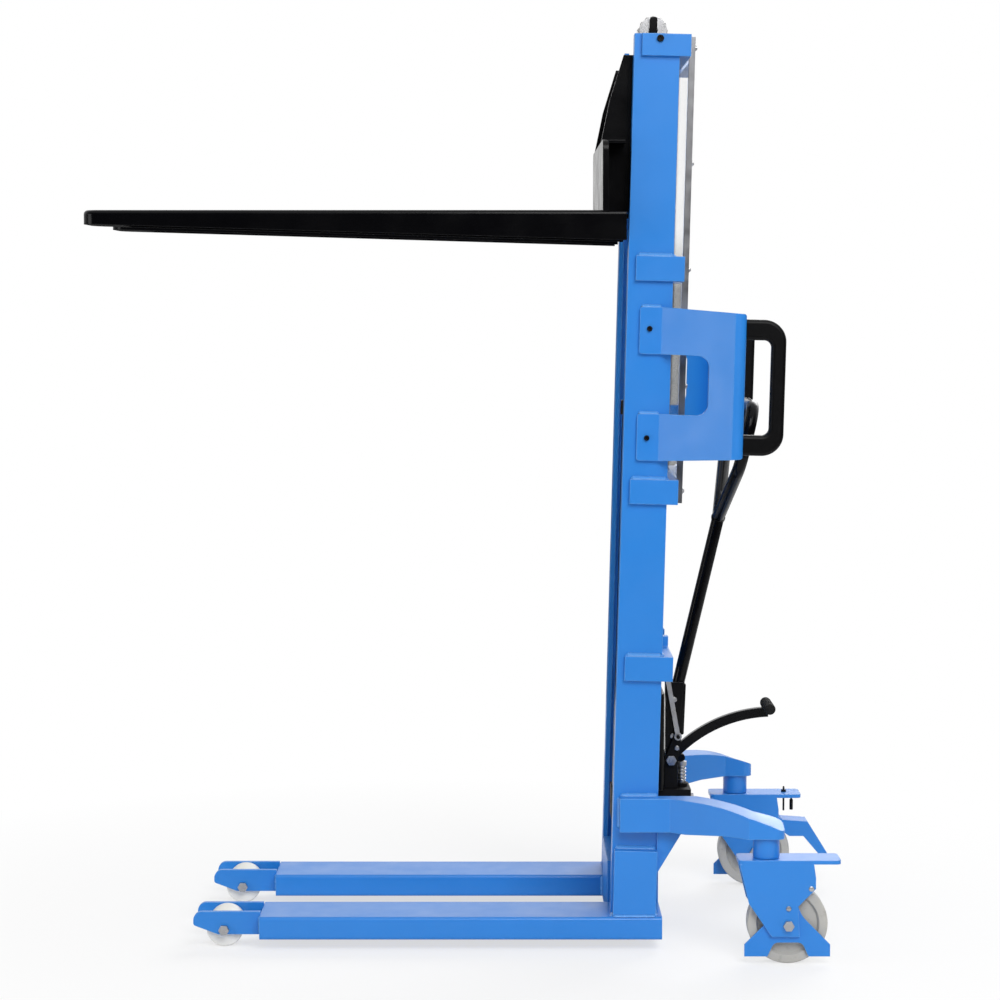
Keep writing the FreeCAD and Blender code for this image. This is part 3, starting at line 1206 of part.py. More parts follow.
def handle_point(along, y):
    """A point on the plane of the hand lever: distance along the rod, and Y."""
    tilt = math.radians(HANDLE_TILT_DEG)
    return at(HANDLE_ORIGIN_X + along * math.sin(tilt), y, HANDLE_ORIGIN_Z + along * math.cos(tilt))


def pump_rocker():
    """Hub on the pivot pin, socket for the hand lever and nose over the plunger."""
    rocker = cross_rod(ROCKER_X, ROCKER_Z, -ROCKER_HALF_WIDTH, ROCKER_HALF_WIDTH, ROCKER_HUB_RADIUS)
    socket = [
        (ROCKER_X - SOCKET_FOOT_HALF, ROCKER_Z),
        (ROCKER_X + SOCKET_FOOT_HALF, ROCKER_Z),
        (SOCKET_X + SOCKET_HALF, SOCKET_TOP),
        (ROCKER_X - SOCKET_FOOT_HALF, SOCKET_TOP),
    ]
    rocker = rocker.fuse(side_prism(socket, -ROCKER_ARM_HALF, ROCKER_ARM_HALF))
    nose = [
        (ROCKER_X, ROCKER_Z - NOSE_RADIUS),
        (PLUNGER_X, ROCKER_Z - NOSE_RADIUS),
        (PLUNGER_X, ROCKER_Z + NOSE_RADIUS),
        (ROCKER_X, ROCKER_Z + 2 * NOSE_RADIUS),
    ]
    rocker = rocker.fuse(side_prism(nose, -PLUNGER_RADIUS, PLUNGER_RADIUS))
    rocker = rocker.fuse(cross_rod(PLUNGER_X, ROCKER_Z, -PLUNGER_RADIUS, PLUNGER_RADIUS, NOSE_RADIUS))
    bore = cross_rod(
        ROCKER_X, ROCKER_Z, -ROCKER_HALF_WIDTH, ROCKER_HALF_WIDTH, ROCKER_PIN_RADIUS + RUNNING_CLEARANCE
    )
    rocker = rocker.removeSplitter().cut(bore)
    return rocker.cut(rod(handle_point(HANDLE_FOOT, 0), handle_point(HANDLE_APEX, 0), HANDLE_RADIUS))


def pump_handle():
    """Hand lever with a five-sided loop grip on its top."""
    shaft = rod(handle_point(HANDLE_FOOT, 0), handle_point(HANDLE_APEX, 0), HANDLE_RADIUS)
    half_loop = bent_tube(
        [
            (handle_point(LOOP_TOP, 0), 0),
            (handle_point(LOOP_TOP, LOOP_HALF_WIDTH), LOOP_BEND),
            (handle_point(LOOP_SHOULDER, LOOP_HALF_WIDTH), LOOP_BEND),
            (handle_point(HANDLE_APEX, 0), 0),
        ],
        LOOP_RADIUS,
    )
    knuckle = Part.makeSphere(LOOP_KNUCKLE, handle_point(HANDLE_APEX, 0))
    return shaft.fuse(knuckle).fuse(half_loop).fuse(mirrored(half_loop)).removeSplitter()


def foot_pedal(rocker):
    """Curved pedal arm that grows out of the rocker."""
    root = at(PEDAL_ROOT[0], 0, PEDAL_ROOT[1])
    middle = at(PEDAL_MID[0], 0, PEDAL_MID[1])
    end = at(PEDAL_END[0], 0, PEDAL_END[1])
    arc = Part.Arc(root, middle, end)
    path = Part.Wire([arc.toShape()])
    tangent = arc.tangent(arc.FirstParameter)[0]
    across = V(0, PEDAL_HALF_WIDTH, 0)
    rise = tangent.cross(V(0, 1, 0)).normalize() * (PEDAL_HEIGHT / 2.0)
    loop = [root + across + rise, root - across + rise, root - across - rise, root + across - rise]
    profile = Part.makePolygon(loop + loop[:1])
    return path.makePipeShell([profile], True, False).cut(rocker)


def pedal_pad(pedal):
    """Round tread across the end of the pedal."""
    pad = cross_rod(
        PEDAL_END[0], PEDAL_END[1] + PAD_RISE, -PAD_HALF_WIDTH, PAD_HALF_WIDTH, PAD_RADIUS
    )
    rims = [e for e in pad.Edges if isinstance(e.Curve, Part.Circle)]
    return pad.makeFillet(PAD_EDGE, rims).cut(pedal)


def pump_plunger():
    """Plunger with the cap that the rocker nose presses."""
    cap_foot = PLUNGER_TOP - PLUNGER_CAP
    stem = rod(at(PLUNGER_X, 0, PLUNGER_FOOT), at(PLUNGER_X, 0, PLUNGER_TOP), PLUNGER_RADIUS)
    cap = rod(at(PLUNGER_X, 0, cap_foot), at(PLUNGER_X, 0, PLUNGER_TOP), PLUNGER_CAP_RADIUS)
    return stem.fuse(cap).removeSplitter()


def plunger_spring():
    """Open coil round the plunger, from the sleeve to the cap, in half turn arcs."""
    foot = SLEEVE_TOP + SPRING_WIRE / 2.0 + SEAT_CLEARANCE
    top = PLUNGER_TOP - PLUNGER_CAP - SPRING_WIRE / 2.0 - SEAT_CLEARANCE
    rise = (top - foot) / SPRING_TURNS

    def coil_point(turns):
        angle = 2.0 * math.pi * turns
        return at(
            PLUNGER_X + SPRING_RADIUS * math.cos(angle), SPRING_RADIUS * math.sin(angle), foot + rise * turns
        )

    print("spring: least gap between turns", round(rise - SPRING_WIRE, 2), "mm")
    edges = []
    for half in range(2 * SPRING_TURNS):
        first, second, third = (coil_point(half / 2.0 + step) for step in (0.0, 0.25, 0.5))
        edges.append(Part.Arc(first, second, third).toShape())
    start = coil_point(0)
    tangent = V(0, 2.0 * math.pi * SPRING_RADIUS, rise)
    profile = Part.Wire([Part.makeCircle(SPRING_WIRE / 2.0, start, tangent)])
    return Part.Wire(edges).makePipeShell([profile], True, False)


def release_lever():
    """Flat lever beside the left ear that opens the lowering valve."""
    start = -EAR_INNER - EAR_THICK - SIDE_CLEARANCE - RELEASE_THICK
    end = start + RELEASE_THICK
    lever = side_prism(
        [
            (RELEASE_PIVOT_X - RELEASE_HALF, RELEASE_PIVOT_Z),
            (RELEASE_PIVOT_X + RELEASE_HALF, RELEASE_PIVOT_Z),
            (RELEASE_TOP_X + RELEASE_HALF, RELEASE_TOP_Z),
            (RELEASE_TOP_X - RELEASE_HALF, RELEASE_TOP_Z),
        ],
        start, end,
    )
    lever = lever.fuse(cross_rod(RELEASE_PIVOT_X, RELEASE_PIVOT_Z, start, end, RELEASE_EYE)).removeSplitter()
    eye = RELEASE_PIN_RADIUS + RUNNING_CLEARANCE
    return lever.cut(cross_rod(RELEASE_PIVOT_X, RELEASE_PIVOT_Z, start, end, eye))


def handle_bracket():
    """Bent plate: two tabs flat on the mast, a wing that flares outwards and a rear flange folded inwards."""
    outer = MAST_HALF_WIDTH + BRACKET_THICK
    wing_outer = BRACKET_WING + BRACKET_THICK
    flange_end = wing_outer - BRACKET_FLANGE
    flare = math.atan2(BRACKET_FLARE, BRACKET_FOLD - BRACKET_SHOULDER)
    ease = BRACKET_THICK * math.tan(flare / 2.0)
    fold = [
        (BRACKET_FRONT, MAST_HALF_WIDTH),
        (BRACKET_SHOULDER, MAST_HALF_WIDTH),
        (BRACKET_FOLD, BRACKET_WING),
        (BRACKET_REAR - BRACKET_THICK, BRACKET_WING, BRACKET_BEND - BRACKET_THICK),
        (BRACKET_REAR - BRACKET_THICK, flange_end),
        (BRACKET_REAR, flange_end),
        (BRACKET_REAR, wing_outer, BRACKET_BEND),
        (BRACKET_FOLD - ease, wing_outer),
        (BRACKET_SHOULDER - ease, outer),
        (BRACKET_FRONT, outer),
    ]
    outline = [
        (BRACKET_FRONT, BRACKET_BOTTOM, BRACKET_TAB_RADIUS),
        (BRACKET_SHOULDER, BRACKET_BOTTOM),
        (BRACKET_REAR, BRACKET_REAR_BOTTOM, BRACKET_TAB_RADIUS),
        (BRACKET_REAR, BRACKET_REAR_TOP, BRACKET_TAB_RADIUS),
        (BRACKET_SHOULDER, BRACKET_TOP),
        (BRACKET_FRONT, BRACKET_TOP, BRACKET_TAB_RADIUS),
        (BRACKET_FRONT, BRACKET_NOTCH_HIGH, BRACKET_TAB_RADIUS),
        (BRACKET_NOTCH_REAR, BRACKET_NOTCH_HIGH, BRACKET_NOTCH_RADIUS),
        (BRACKET_NOTCH_REAR, BRACKET_NOTCH_LOW, BRACKET_NOTCH_RADIUS),
        (BRACKET_FRONT, BRACKET_NOTCH_LOW, BRACKET_TAB_RADIUS),
    ]
    plate = plan_prism(fold, BRACKET_BOTTOM, BRACKET_TOP)
    return lean(plate.common(side_prism(outline, 0, wing_outer)))


def push_grip():
    """Moulded D grip on the rear flange of the bracket."""
    low = GRIP_Y - GRIP_THICK / 2.0
    high = GRIP_Y + GRIP_THICK / 2.0
    bar = GRIP_REAR - GRIP_BAR
    grip = side_prism(
        [
            (BRACKET_REAR, GRIP_BOTTOM),
            (GRIP_REAR, GRIP_BOTTOM, GRIP_OUTER_RADIUS),
            (GRIP_REAR, GRIP_TOP, GRIP_OUTER_RADIUS),
            (BRACKET_REAR, GRIP_TOP),
            (BRACKET_REAR, GRIP_TOP - GRIP_ARM),
            (bar, GRIP_TOP - GRIP_ARM, GRIP_INNER_RADIUS),
            (bar, GRIP_BOTTOM + GRIP_ARM, GRIP_INNER_RADIUS),
            (BRACKET_REAR, GRIP_BOTTOM + GRIP_ARM),
        ],
        low, high,
    )
    rims = []
    for edge in grip.Edges:
        span = edge.BoundBox
        on_side = span.YLength < TOUCH
        off_flange = span.XMax > MAST_FOOT_X + BRACKET_REAR + TOUCH
        if on_side and off_flange:
            rims.append(edge)
    return lean(grip.makeFillet(GRIP_EDGE, rims))


def guard_panel():
    """Clear sheet between the operator and the chains."""
    front = MAST_DEPTH + BAND_BAR + STRIP_LIP
    return lean(box(
        front, front + GUARD_THICK, -GUARD_HALF_WIDTH, GUARD_HALF_WIDTH, GUARD_BOTTOM, GUARD_TOP
    ))


def guard_strips():
    """Channel strips along both edges of the panel, fixed to the backs of the bands."""
    front = MAST_DEPTH + BAND_BAR
    outer = GUARD_HALF_WIDTH - STRIP_GRIP + STRIP_WIDTH
    strip = box(front, front + STRIP_DEPTH, outer - STRIP_WIDTH, outer, GUARD_BOTTOM, GUARD_TOP)
    slot = box(
        front + STRIP_LIP, front + STRIP_LIP + GUARD_THICK, outer - STRIP_WIDTH, GUARD_HALF_WIDTH,
        GUARD_BOTTOM, GUARD_TOP,
    )
    strip = lean(strip.cut(slot))
    return [strip, mirrored(strip)]


def save_pair(name, right_piece):
    """Write the left and right copies of a piece as two nodes."""
    save("left_" + name, mirrored(right_piece))
    save("right_" + name, right_piece)


def build():
    os.makedirs("parts", exist_ok=True)

    save_pair("leg", support_leg())
    cheeks = roller_cheeks()
    save("roller_cheeks", *[mirrored(cheek) for cheek in cheeks], *cheeks)
    axle = front_roller_axle()
    save("front_roller_axles", mirrored(axle), axle)
    save_pair("front_roller", front_roller())

    save_pair("upright", upright())
    shoe = mast_shoe()
    save("mast_shoes", mirrored(shoe), shoe)
    save("top_cross_band", *cross_band(MAST_TOP - TOP_BAND_HEIGHT, TOP_BAND_HEIGHT))
    save("upper_cross_band", *cross_band(UPPER_BAND_FOOT, BAND_HEIGHT))
    save("middle_cross_band", *cross_band(MIDDLE_BAND_FOOT, BAND_HEIGHT))
    save("lower_cross_band", *cross_band(LOWER_BAND_FOOT, BAND_HEIGHT), *rear_chain_anchors())
    save("base_crossbeam", *base_beam())

    save_pair("rear_arm", rear_arm())
    brace = gusset()
    save("rear_gussets", mirrored(brace), brace)
    post = swivel_post()
    save("swivel_posts", mirrored(post), post)

    save_pair("caster_fork", caster_fork())
    save_pair("toe_guard", toe_guard())
    save_pair("wheel", caster_wheel())
    save_pair("wheel_axle", wheel_axle())
    save("brake_pedal", brake_pedal())
    save("brake_pins", *brake_pins())

    save("cylinder_barrel", cylinder_barrel())
    save("cylinder_gland", cylinder_gland())
    save("piston_rod", piston_rod())
    save("sheave_yoke", sheave_yoke())
    save("chain_sheaves", *chain_sheaves())
    save("chain_arcs", *chain_arcs())
    run_top = SHEAVE_Z - SEAT_CLEARANCE
    save("front_chain_runs", *chain_run(MAST_MID - CHAIN_RADIUS, FRONT_ANCHOR_Z, run_top))
    save("rear_chain_runs", *chain_run(MAST_MID + CHAIN_RADIUS, REAR_ANCHOR_Z, run_top))

    save_pair("fork", fork())
    save("carriage_plate", *carriage_plate())
    web = carriage_web()
    save("carriage_webs", mirrored(web), web)
    save("carriage_crossbars", *carriage_crossbars())
    save("lower_track_rollers", *track_rollers(LOWER_ROLLER_Z))
    save("upper_track_rollers", *track_rollers(UPPER_ROLLER_Z))

    save("pump_manifold", pump_manifold())
    save("oil_reservoir", oil_reservoir())
    save("pump_body", *pump_body())
    save("rocker_pin", rocker_pin())
    rocker = pump_rocker()
    save("pump_rocker", rocker)
    save("pump_handle", pump_handle())
    pedal = foot_pedal(rocker)
    save("foot_pedal", pedal)
    save("pedal_pad", pedal_pad(pedal))
    save("pump_plunger", pump_plunger())
    save("plunger_spring", plunger_spring())
    save("release_lever", release_lever())

    save_pair("handle_bracket", handle_bracket())
    save_pair("push_grip", push_grip())
    save("guard_panel", guard_panel())
    save("guard_edge_strips", *guard_strips())


build()
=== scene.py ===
import json
import math

import bpy
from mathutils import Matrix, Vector


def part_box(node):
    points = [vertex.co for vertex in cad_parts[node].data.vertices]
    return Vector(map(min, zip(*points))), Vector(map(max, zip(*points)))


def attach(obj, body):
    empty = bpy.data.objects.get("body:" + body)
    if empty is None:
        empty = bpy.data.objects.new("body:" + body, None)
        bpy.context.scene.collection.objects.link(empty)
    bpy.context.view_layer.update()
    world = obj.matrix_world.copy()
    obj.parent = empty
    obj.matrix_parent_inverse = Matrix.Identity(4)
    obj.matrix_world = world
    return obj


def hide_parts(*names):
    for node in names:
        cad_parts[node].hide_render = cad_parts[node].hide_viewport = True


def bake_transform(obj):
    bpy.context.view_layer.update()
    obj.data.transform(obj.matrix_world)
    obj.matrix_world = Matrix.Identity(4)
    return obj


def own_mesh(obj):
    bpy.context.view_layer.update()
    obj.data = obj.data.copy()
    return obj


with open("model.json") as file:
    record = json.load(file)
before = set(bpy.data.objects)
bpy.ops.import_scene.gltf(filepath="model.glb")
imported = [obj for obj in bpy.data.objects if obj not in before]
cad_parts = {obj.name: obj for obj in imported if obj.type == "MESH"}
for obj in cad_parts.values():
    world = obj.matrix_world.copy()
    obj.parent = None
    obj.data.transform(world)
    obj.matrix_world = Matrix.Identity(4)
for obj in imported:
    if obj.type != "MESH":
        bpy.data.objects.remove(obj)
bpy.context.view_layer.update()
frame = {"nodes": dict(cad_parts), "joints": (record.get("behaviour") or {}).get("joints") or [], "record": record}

# Sizes of shapes are in millimetres, and MM takes them to the frame's metres
MM = 0.001
FULL_TURN = 2 * math.pi
JOINTS = {joint["name"]: joint for joint in frame["joints"]}
PLUMB = Vector((0.0, 0.0, 1.0))
SIDE = Vector((0.0, 1.0, 0.0))
REARWARD = Vector((1.0, 0.0, 0.0))

# Frame of the leaning mast: x from its front face, z along it
UP = Vector(JOINTS["rod_slide"]["axis"]).normalized()
BACK = Vector((UP.z, 0.0, -UP.x))
SHEAVE = Vector(JOINTS["sheave_spin"]["pos_m"])
MAST_MID = 45.5
SHEAVE_Z = 1876.0
MAST_DEPTH = 91.0
MAST_HALF = 238.0
BAND_FRONT = 15.0
BAND_FEET = (551.0, 911.0, 1361.0)
BAND_HEIGHT = 50.0
TAB_FACE = 246.0
TAB_FRONT = 26.0
TAB_TOPS = (1309.0, 1094.0)
TAB_SCREW_X = 46.0
TAB_SCREW_LEVELS = (1265.0, 1045.0)
TOP_BAND_SCREW = (51.0, 248.0, 1843.0)
STRIP_REAR = 125.0
STRIP_Y = 188.0
STRIP_SCREW_LEVELS = (936.0, 1150.0, 1386.0, 1600.0, 1831.0)
GLAND_TOP = 1112.0

# Floor frame: x from the mast foot
SWIVEL_X = 308.0
FOOT_X = JOINTS["left_swivel"]["pos_m"][0] / MM - SWIVEL_X
SWIVEL_Y = 355.0
WHEEL_X = 350.0
CHEEK_FACE = 36.0
LEG_TOP = 69.0
LEG_INNER = 126.0
LEG_CENTRE = 200.0
LEG_FRONT = -714.0
ARM_FRONT = 19.5
ARM_BOTTOM = 243.0
ARM_TOP = 312.0
PLATE_TOP = 211.0
BLOCK_TOP = 290.0
BLOCK_SIDE = 46.0
MANIFOLD_REAR = 179.6
VALVE_LEVEL = 262.0
TANK_X = 109.5
TANK_TOP = 495.0
LEVER_TILT = 13.2
LEVER_FORK = (237.4, 0.0, 863.3)

# Lift chain
CHAIN_Y = 62.0
CHAIN_RADIUS = 24.0
CHAIN_PITCH = 12.5
PLATE_THICK = 2.05
PLATE_GAP = 0.12
PLATE_RADIUS = 5.9
PLATE_WAIST = 4.8
PLATES = 8
PIN_RADIUS = 2.4
PIN_END = 0.9
FRONT_ANCHOR_Z = 1612.0
REAR_ANCHOR_Z = 622.0
ARC_LINKS = 6
ANCHOR_RISE = 9.0

# Legs of the fillet welds
FINE_WELD = 4.5
PLAIN_WELD = 5.0
ARM_WELD = 6.0
MAST_WELD = 6.5

# Light of the studio on the object, as a share of white
AMBIENT = 0.42


def mast(x, y, z):
    """A point of the leaning mast in the object's frame, in metres."""
    return SHEAVE + (BACK * (x - MAST_MID) + SIDE * y + UP * (z - SHEAVE_Z)) * MM


def floor_point(x, y, z):
    """A point given from the mast foot, in metres."""
    return Vector((FOOT_X + x, y, z)) * MM


# Materials, with their sizes in metres


class Nodes:
    """The node tree of a new material or of a world, and short ways to add to it."""

    def __init__(self, name, world=None):
        self.material = world or bpy.data.materials.new(name)
        self.material.use_nodes = True
        self.tree = self.material.node_tree
        self.shader = self.tree.nodes["Background" if world else "Principled BSDF"]
        self.place = self.add("ShaderNodeTexCoord").outputs["Generated" if world else "Object"]

    def add(self, kind, **inputs):
        node = self.tree.nodes.new(kind)
        for key, value in inputs.items():
            self.set(node, key.replace("_", " "), value)
        return node

    def put(self, socket, value):
        """Link a socket to another one, or set it to a plain value."""
        if isinstance(value, bpy.types.NodeSocket):
            self.tree.links.new(value, socket)
        else:
            socket.default_value = value

    def set(self, node, key, value):
        self.put(node.inputs[key], value)

    def noise(self, scale, detail=3.0, roughness=0.55, vector=None):
        node = self.add("ShaderNodeTexNoise", Scale=scale, Detail=detail, Roughness=roughness)
        self.set(node, "Vector", vector or self.place)
        return node.outputs["Fac"]

    def stretched(self, x, y, z):
        """Object coordinates scaled along each axis, for brushed or drawn grain."""
        node = self.add("ShaderNodeMapping", Vector=self.place)
        node.inputs["Scale"].default_value = (x, y, z)
        return node.outputs["Vector"]

    def remap(self, value, low, high, to_low=0.0, to_high=1.0):
        node = self.add("ShaderNodeMapRange", Value=value)
        for key, number in (("From Min", low), ("From Max", high), ("To Min", to_low), ("To Max", to_high)):
            node.inputs[key].default_value = number
        return node.outputs["Result"]

    def spread(self, noise, to_low, to_high):
        """Noise, most of which lies in its middle range, spread between two values."""
        return self.remap(noise, low=0.3, high=0.7, to_low=to_low, to_high=to_high)

    def math(self, operation, first, second):
        node = self.add("ShaderNodeMath")
        node.operation = operation
        for socket, value in zip(node.inputs, (first, second)):
            self.put(socket, value)
        return node.outputs["Value"]

    def blend(self, factor, first, second):
        """A number that goes from first to second with factor."""
        node = self.add("ShaderNodeMix")
        for key, value in (("Factor", factor), ("A", first), ("B", second)):
            self.set(node, key, value)
        return node.outputs["Result"]

    def mix(self, factor, first, second):
        """A colour that goes from first to second with factor."""
        node = self.add("ShaderNodeMix")
        node.data_type = "RGBA"
        colour_sockets = [s for s in node.inputs if s.type == "RGBA"]
        self.set(node, "Factor", factor)
        for socket, value in zip(colour_sockets, (first, second)):
            plain = not isinstance(value, bpy.types.NodeSocket)
            self.put(socket, (*value, 1.0) if plain else value)
        return [s for s in node.outputs if s.type == "RGBA"][0]

    def edges(self, radius):
        """Normals that round sharp edges, and a mask that is 1 along them."""
        bevel = self.add("ShaderNodeBevel", Radius=radius)
        bevel.samples = 6
        normal = bevel.outputs["Normal"]
        flat = self.add("ShaderNodeNewGeometry").outputs["Normal"]
        dot = self.add("ShaderNodeVectorMath")
        dot.operation = "DOT_PRODUCT"
        self.tree.links.new(normal, dot.inputs[0])
        self.tree.links.new(flat, dot.inputs[1])
        return normal, self.remap(dot.outputs["Value"], low=0.985, high=0.86)

    def bump(self, height, strength, distance, normal=None):
        node = self.add("ShaderNodeBump", Height=height, Strength=strength, Distance=distance)
        if normal:
            self.set(node, "Normal", normal)
        return node.outputs["Normal"]

    def finish(self, colour, roughness, normal, **plain):
        self.set(self.shader, "Base Color", colour)
        self.set(self.shader, "Roughness", roughness)
        self.set(self.shader, "Normal", normal)
        for key, value in plain.items():
            self.shader.inputs[key.replace("_", " ")].default_value = value
        return self.material


def tinted(colour, share):
    """The colour made darker or paler by a share."""
    return [min(1.0, c * share) for c in colour]


def powder_coat(name, colour, edge_wear_and_highlight, low_rough, high_rough, specular, coat):
    """Sprayed paint: slight mottling, orange peel, paler along its edges, partly as edge wear and partly as a
    painted highlight there.
    """
    nodes = Nodes(name)
    normal, edge = nodes.edges(radius=0.0026)
    drift = nodes.noise(scale=2.6, detail=4.0)
    shade = nodes.mix(drift, tinted(colour, share=0.93), tinted(colour, share=1.07))
    patches = nodes.remap(nodes.noise(scale=38.0), low=0.36, high=0.62, to_low=0.3, to_high=0.85)
    # Edges take the paler colour: part edge wear, part painted highlight where light catches them
    edge_rub_and_highlight = nodes.math("MULTIPLY", edge, patches)
    peel = nodes.noise(scale=420.0, detail=2.0)
    return nodes.finish(
        nodes.mix(edge_rub_and_highlight, shade, edge_wear_and_highlight),
        nodes.spread(nodes.noise(scale=14.0), low_rough, high_rough),
        nodes.bump(peel, strength=0.12, distance=0.0004, normal=normal),
        Specular_IOR_Level=specular, Coat_Weight=coat, Coat_Roughness=0.12,
    )


def bare_metal(name, dark, light, low_rough, high_rough, grain):
    """Plated or ground steel with fine drawn grain."""
    nodes = Nodes(name)
    normal, edge = nodes.edges(radius=0.0005)
    lines = nodes.noise(scale=1.0, detail=4.0, roughness=0.6, vector=nodes.stretched(*grain))
    stain = nodes.noise(scale=45.0, detail=4.0)
    colour = nodes.mix(nodes.math("MULTIPLY", lines, stain), dark, light)
    return nodes.finish(
        nodes.mix(edge, colour, light),
        nodes.spread(stain, low_rough, high_rough),
        nodes.bump(lines, strength=0.08, distance=0.0002, normal=normal),
        Metallic=1.0,
    )


def cast_nylon(name, colour, scuff):
    """Cast nylon, a little mottled, with scuffs and fine turning marks."""
    nodes = Nodes(name)
    normal = nodes.edges(radius=0.0012)[0]
    cloud = nodes.noise(scale=16.0, detail=5.0)
    specks = nodes.noise(scale=70.0, detail=6.0, roughness=0.7)
    marks = nodes.remap(specks, low=0.58, high=0.75, to_high=0.55)
    base = nodes.mix(cloud, tinted(colour, share=0.9), tinted(colour, share=1.06))
    grain = nodes.stretched(x=900.0, y=60.0, z=900.0)
    turned = nodes.noise(scale=1.0, detail=2.0, roughness=0.5, vector=grain)
    return nodes.finish(
        nodes.mix(marks, base, scuff),
        nodes.spread(cloud, to_low=0.42, to_high=0.6),
        nodes.bump(turned, strength=0.1, distance=0.0003, normal=normal),
        Specular_IOR_Level=0.4,
    )


def moulded(name, colour, dust, grain_scale, depth, rough):
    """Grained plastic, rubber or casting with a little dust."""
    nodes = Nodes(name)
    normal, edge = nodes.edges(radius=0.0008)
    grain = nodes.noise(grain_scale, detail=2.0)
    dirt = nodes.remap(nodes.noise(scale=22.0, detail=5.0), low=0.5, high=0.75, to_high=0.35)
    edge_share = 0.25
    vary = 0.08
    return nodes.finish(
        nodes.mix(nodes.math("MAXIMUM", dirt, nodes.math("MULTIPLY", edge, edge_share)), colour, dust),
        nodes.spread(grain, rough - vary, rough + vary),
        nodes.bump(grain, strength=0.35, distance=depth, normal=normal),
        Specular_IOR_Level=0.15,
    )


def clear_sheet():
    """Clear plastic sheet with faint rubbing marks."""
    nodes = Nodes("clear_sheet")
    haze = nodes.noise(scale=9.0, detail=5.0)
    hair = nodes.noise(scale=1.0, detail=3.0, roughness=0.6, vector=nodes.stretched(x=1.0, y=800.0, z=25.0))
    return nodes.finish(
        nodes.mix(haze, (0.93, 0.95, 0.96), (0.98, 0.99, 0.99)),
        nodes.spread(haze, to_low=0.012, to_high=0.04),
        nodes.bump(hair, strength=0.01, distance=0.0002),
        Transmission_Weight=0.96, IOR=1.2, Specular_IOR_Level=0.4,
    )


BLUE = powder_coat(
    "blue_powder_coat", colour=(0.018, 0.215, 0.67), edge_wear_and_highlight=(0.20, 0.47, 0.88),
    low_rough=0.30, high_rough=0.42, specular=0.45, coat=0.12,
)
# Paler blue than the frame's paint: a painted highlight along the weld beads
WELD_PAINTED_HIGHLIGHT = powder_coat(
    "blue_weld_painted_highlight", colour=(0.07, 0.30, 0.74), edge_wear_and_highlight=(0.24, 0.51, 0.90),
    low_rough=0.22, high_rough=0.32, specular=0.6, coat=0.2,
)
BLACK = powder_coat(
    "black_satin_paint", colour=(0.0012, 0.0012, 0.0018), edge_wear_and_highlight=(0.009, 0.009, 0.011),
    low_rough=0.17, high_rough=0.27, specular=0.16, coat=0.0,
)
ZINC = bare_metal(
    "zinc_plate", dark=(0.38, 0.38, 0.39), light=(0.72, 0.72, 0.72),
    low_rough=0.24, high_rough=0.40, grain=(60.0, 60.0, 60.0),
)
CHROME = bare_metal(
    "rod_chrome", dark=(0.62, 0.63, 0.65), light=(0.86, 0.86, 0.88),
    low_rough=0.06, high_rough=0.14, grain=(500.0, 500.0, 8.0),
)
CHAIN_STEEL = bare_metal(
    "oiled_chain_steel", dark=(0.07, 0.065, 0.06), light=(0.42, 0.41, 0.40),
    low_rough=0.26, high_rough=0.44, grain=(90.0, 90.0, 90.0),
)
ALUMINIUM = bare_metal(
    "drawn_aluminium", dark=(0.24, 0.24, 0.25), light=(0.46, 0.46, 0.47),
    low_rough=0.30, high_rough=0.42, grain=(700.0, 700.0, 6.0),
)
BLACK_OXIDE = bare_metal(
    "black_oxide", dark=(0.008, 0.008, 0.009), light=(0.05, 0.05, 0.052),
    low_rough=0.34, high_rough=0.5, grain=(80.0, 80.0, 80.0),
)
WHEEL_NYLON = cast_nylon("wheel_nylon", colour=(0.47, 0.46, 0.43), scuff=(0.24, 0.23, 0.21))
ROLLER_NYLON = cast_nylon("roller_nylon", colour=(0.84, 0.83, 0.79), scuff=(0.6, 0.58, 0.52))
GRIP = moulded(
    "grip_plastic", colour=(0.0015, 0.0015, 0.002), dust=(0.006, 0.006, 0.0065),
    grain_scale=900.0, depth=0.0005, rough=0.4,
)
RUBBER = moulded(
    "pedal_rubber", colour=(0.007, 0.007, 0.007), dust=(0.04, 0.038, 0.035),
    grain_scale=500.0, depth=0.0005, rough=0.68,
)
CAST = moulded(
    "painted_casting", colour=(0.0022, 0.0022, 0.0026), dust=(0.012, 0.012, 0.0125),
    grain_scale=260.0, depth=0.0006, rough=0.6,
)
CLEAR = clear_sheet()

SLOT_MATERIALS = {
    "blue_paint": BLUE,
    "black_paint": BLACK,
    "wheel_nylon": WHEEL_NYLON,
    "roller_nylon": ROLLER_NYLON,
    "black_grip": GRIP,
    "pedal_rubber": RUBBER,
    "rod_chrome": CHROME,
    "plain_steel": ZINC,
    "clear_guard": CLEAR,
    "strip_aluminium": ALUMINIUM,
}
CAST_NODES = ("pump_manifold", "pump_body")


def dress_cad_nodes():
    """Give every carried-over solid the finish of its slot, and the pump's castings their own."""
    for entry in frame["record"]["subparts"]:
        obj = frame["nodes"][entry["node"]]
        obj.data.materials.clear()
        finish = CAST if entry["node"] in CAST_NODES else SLOT_MATERIALS[entry["material_slot"]]
        obj.data.materials.append(finish)


# Mesh building


def square_to(axis):
    """Two unit vectors square to axis and to each other."""
    steep = 0.9
    spare = PLUMB if abs(axis.z) < steep else REARWARD
    across = axis.cross(spare).normalized()
    return across, axis.cross(across).normalized()


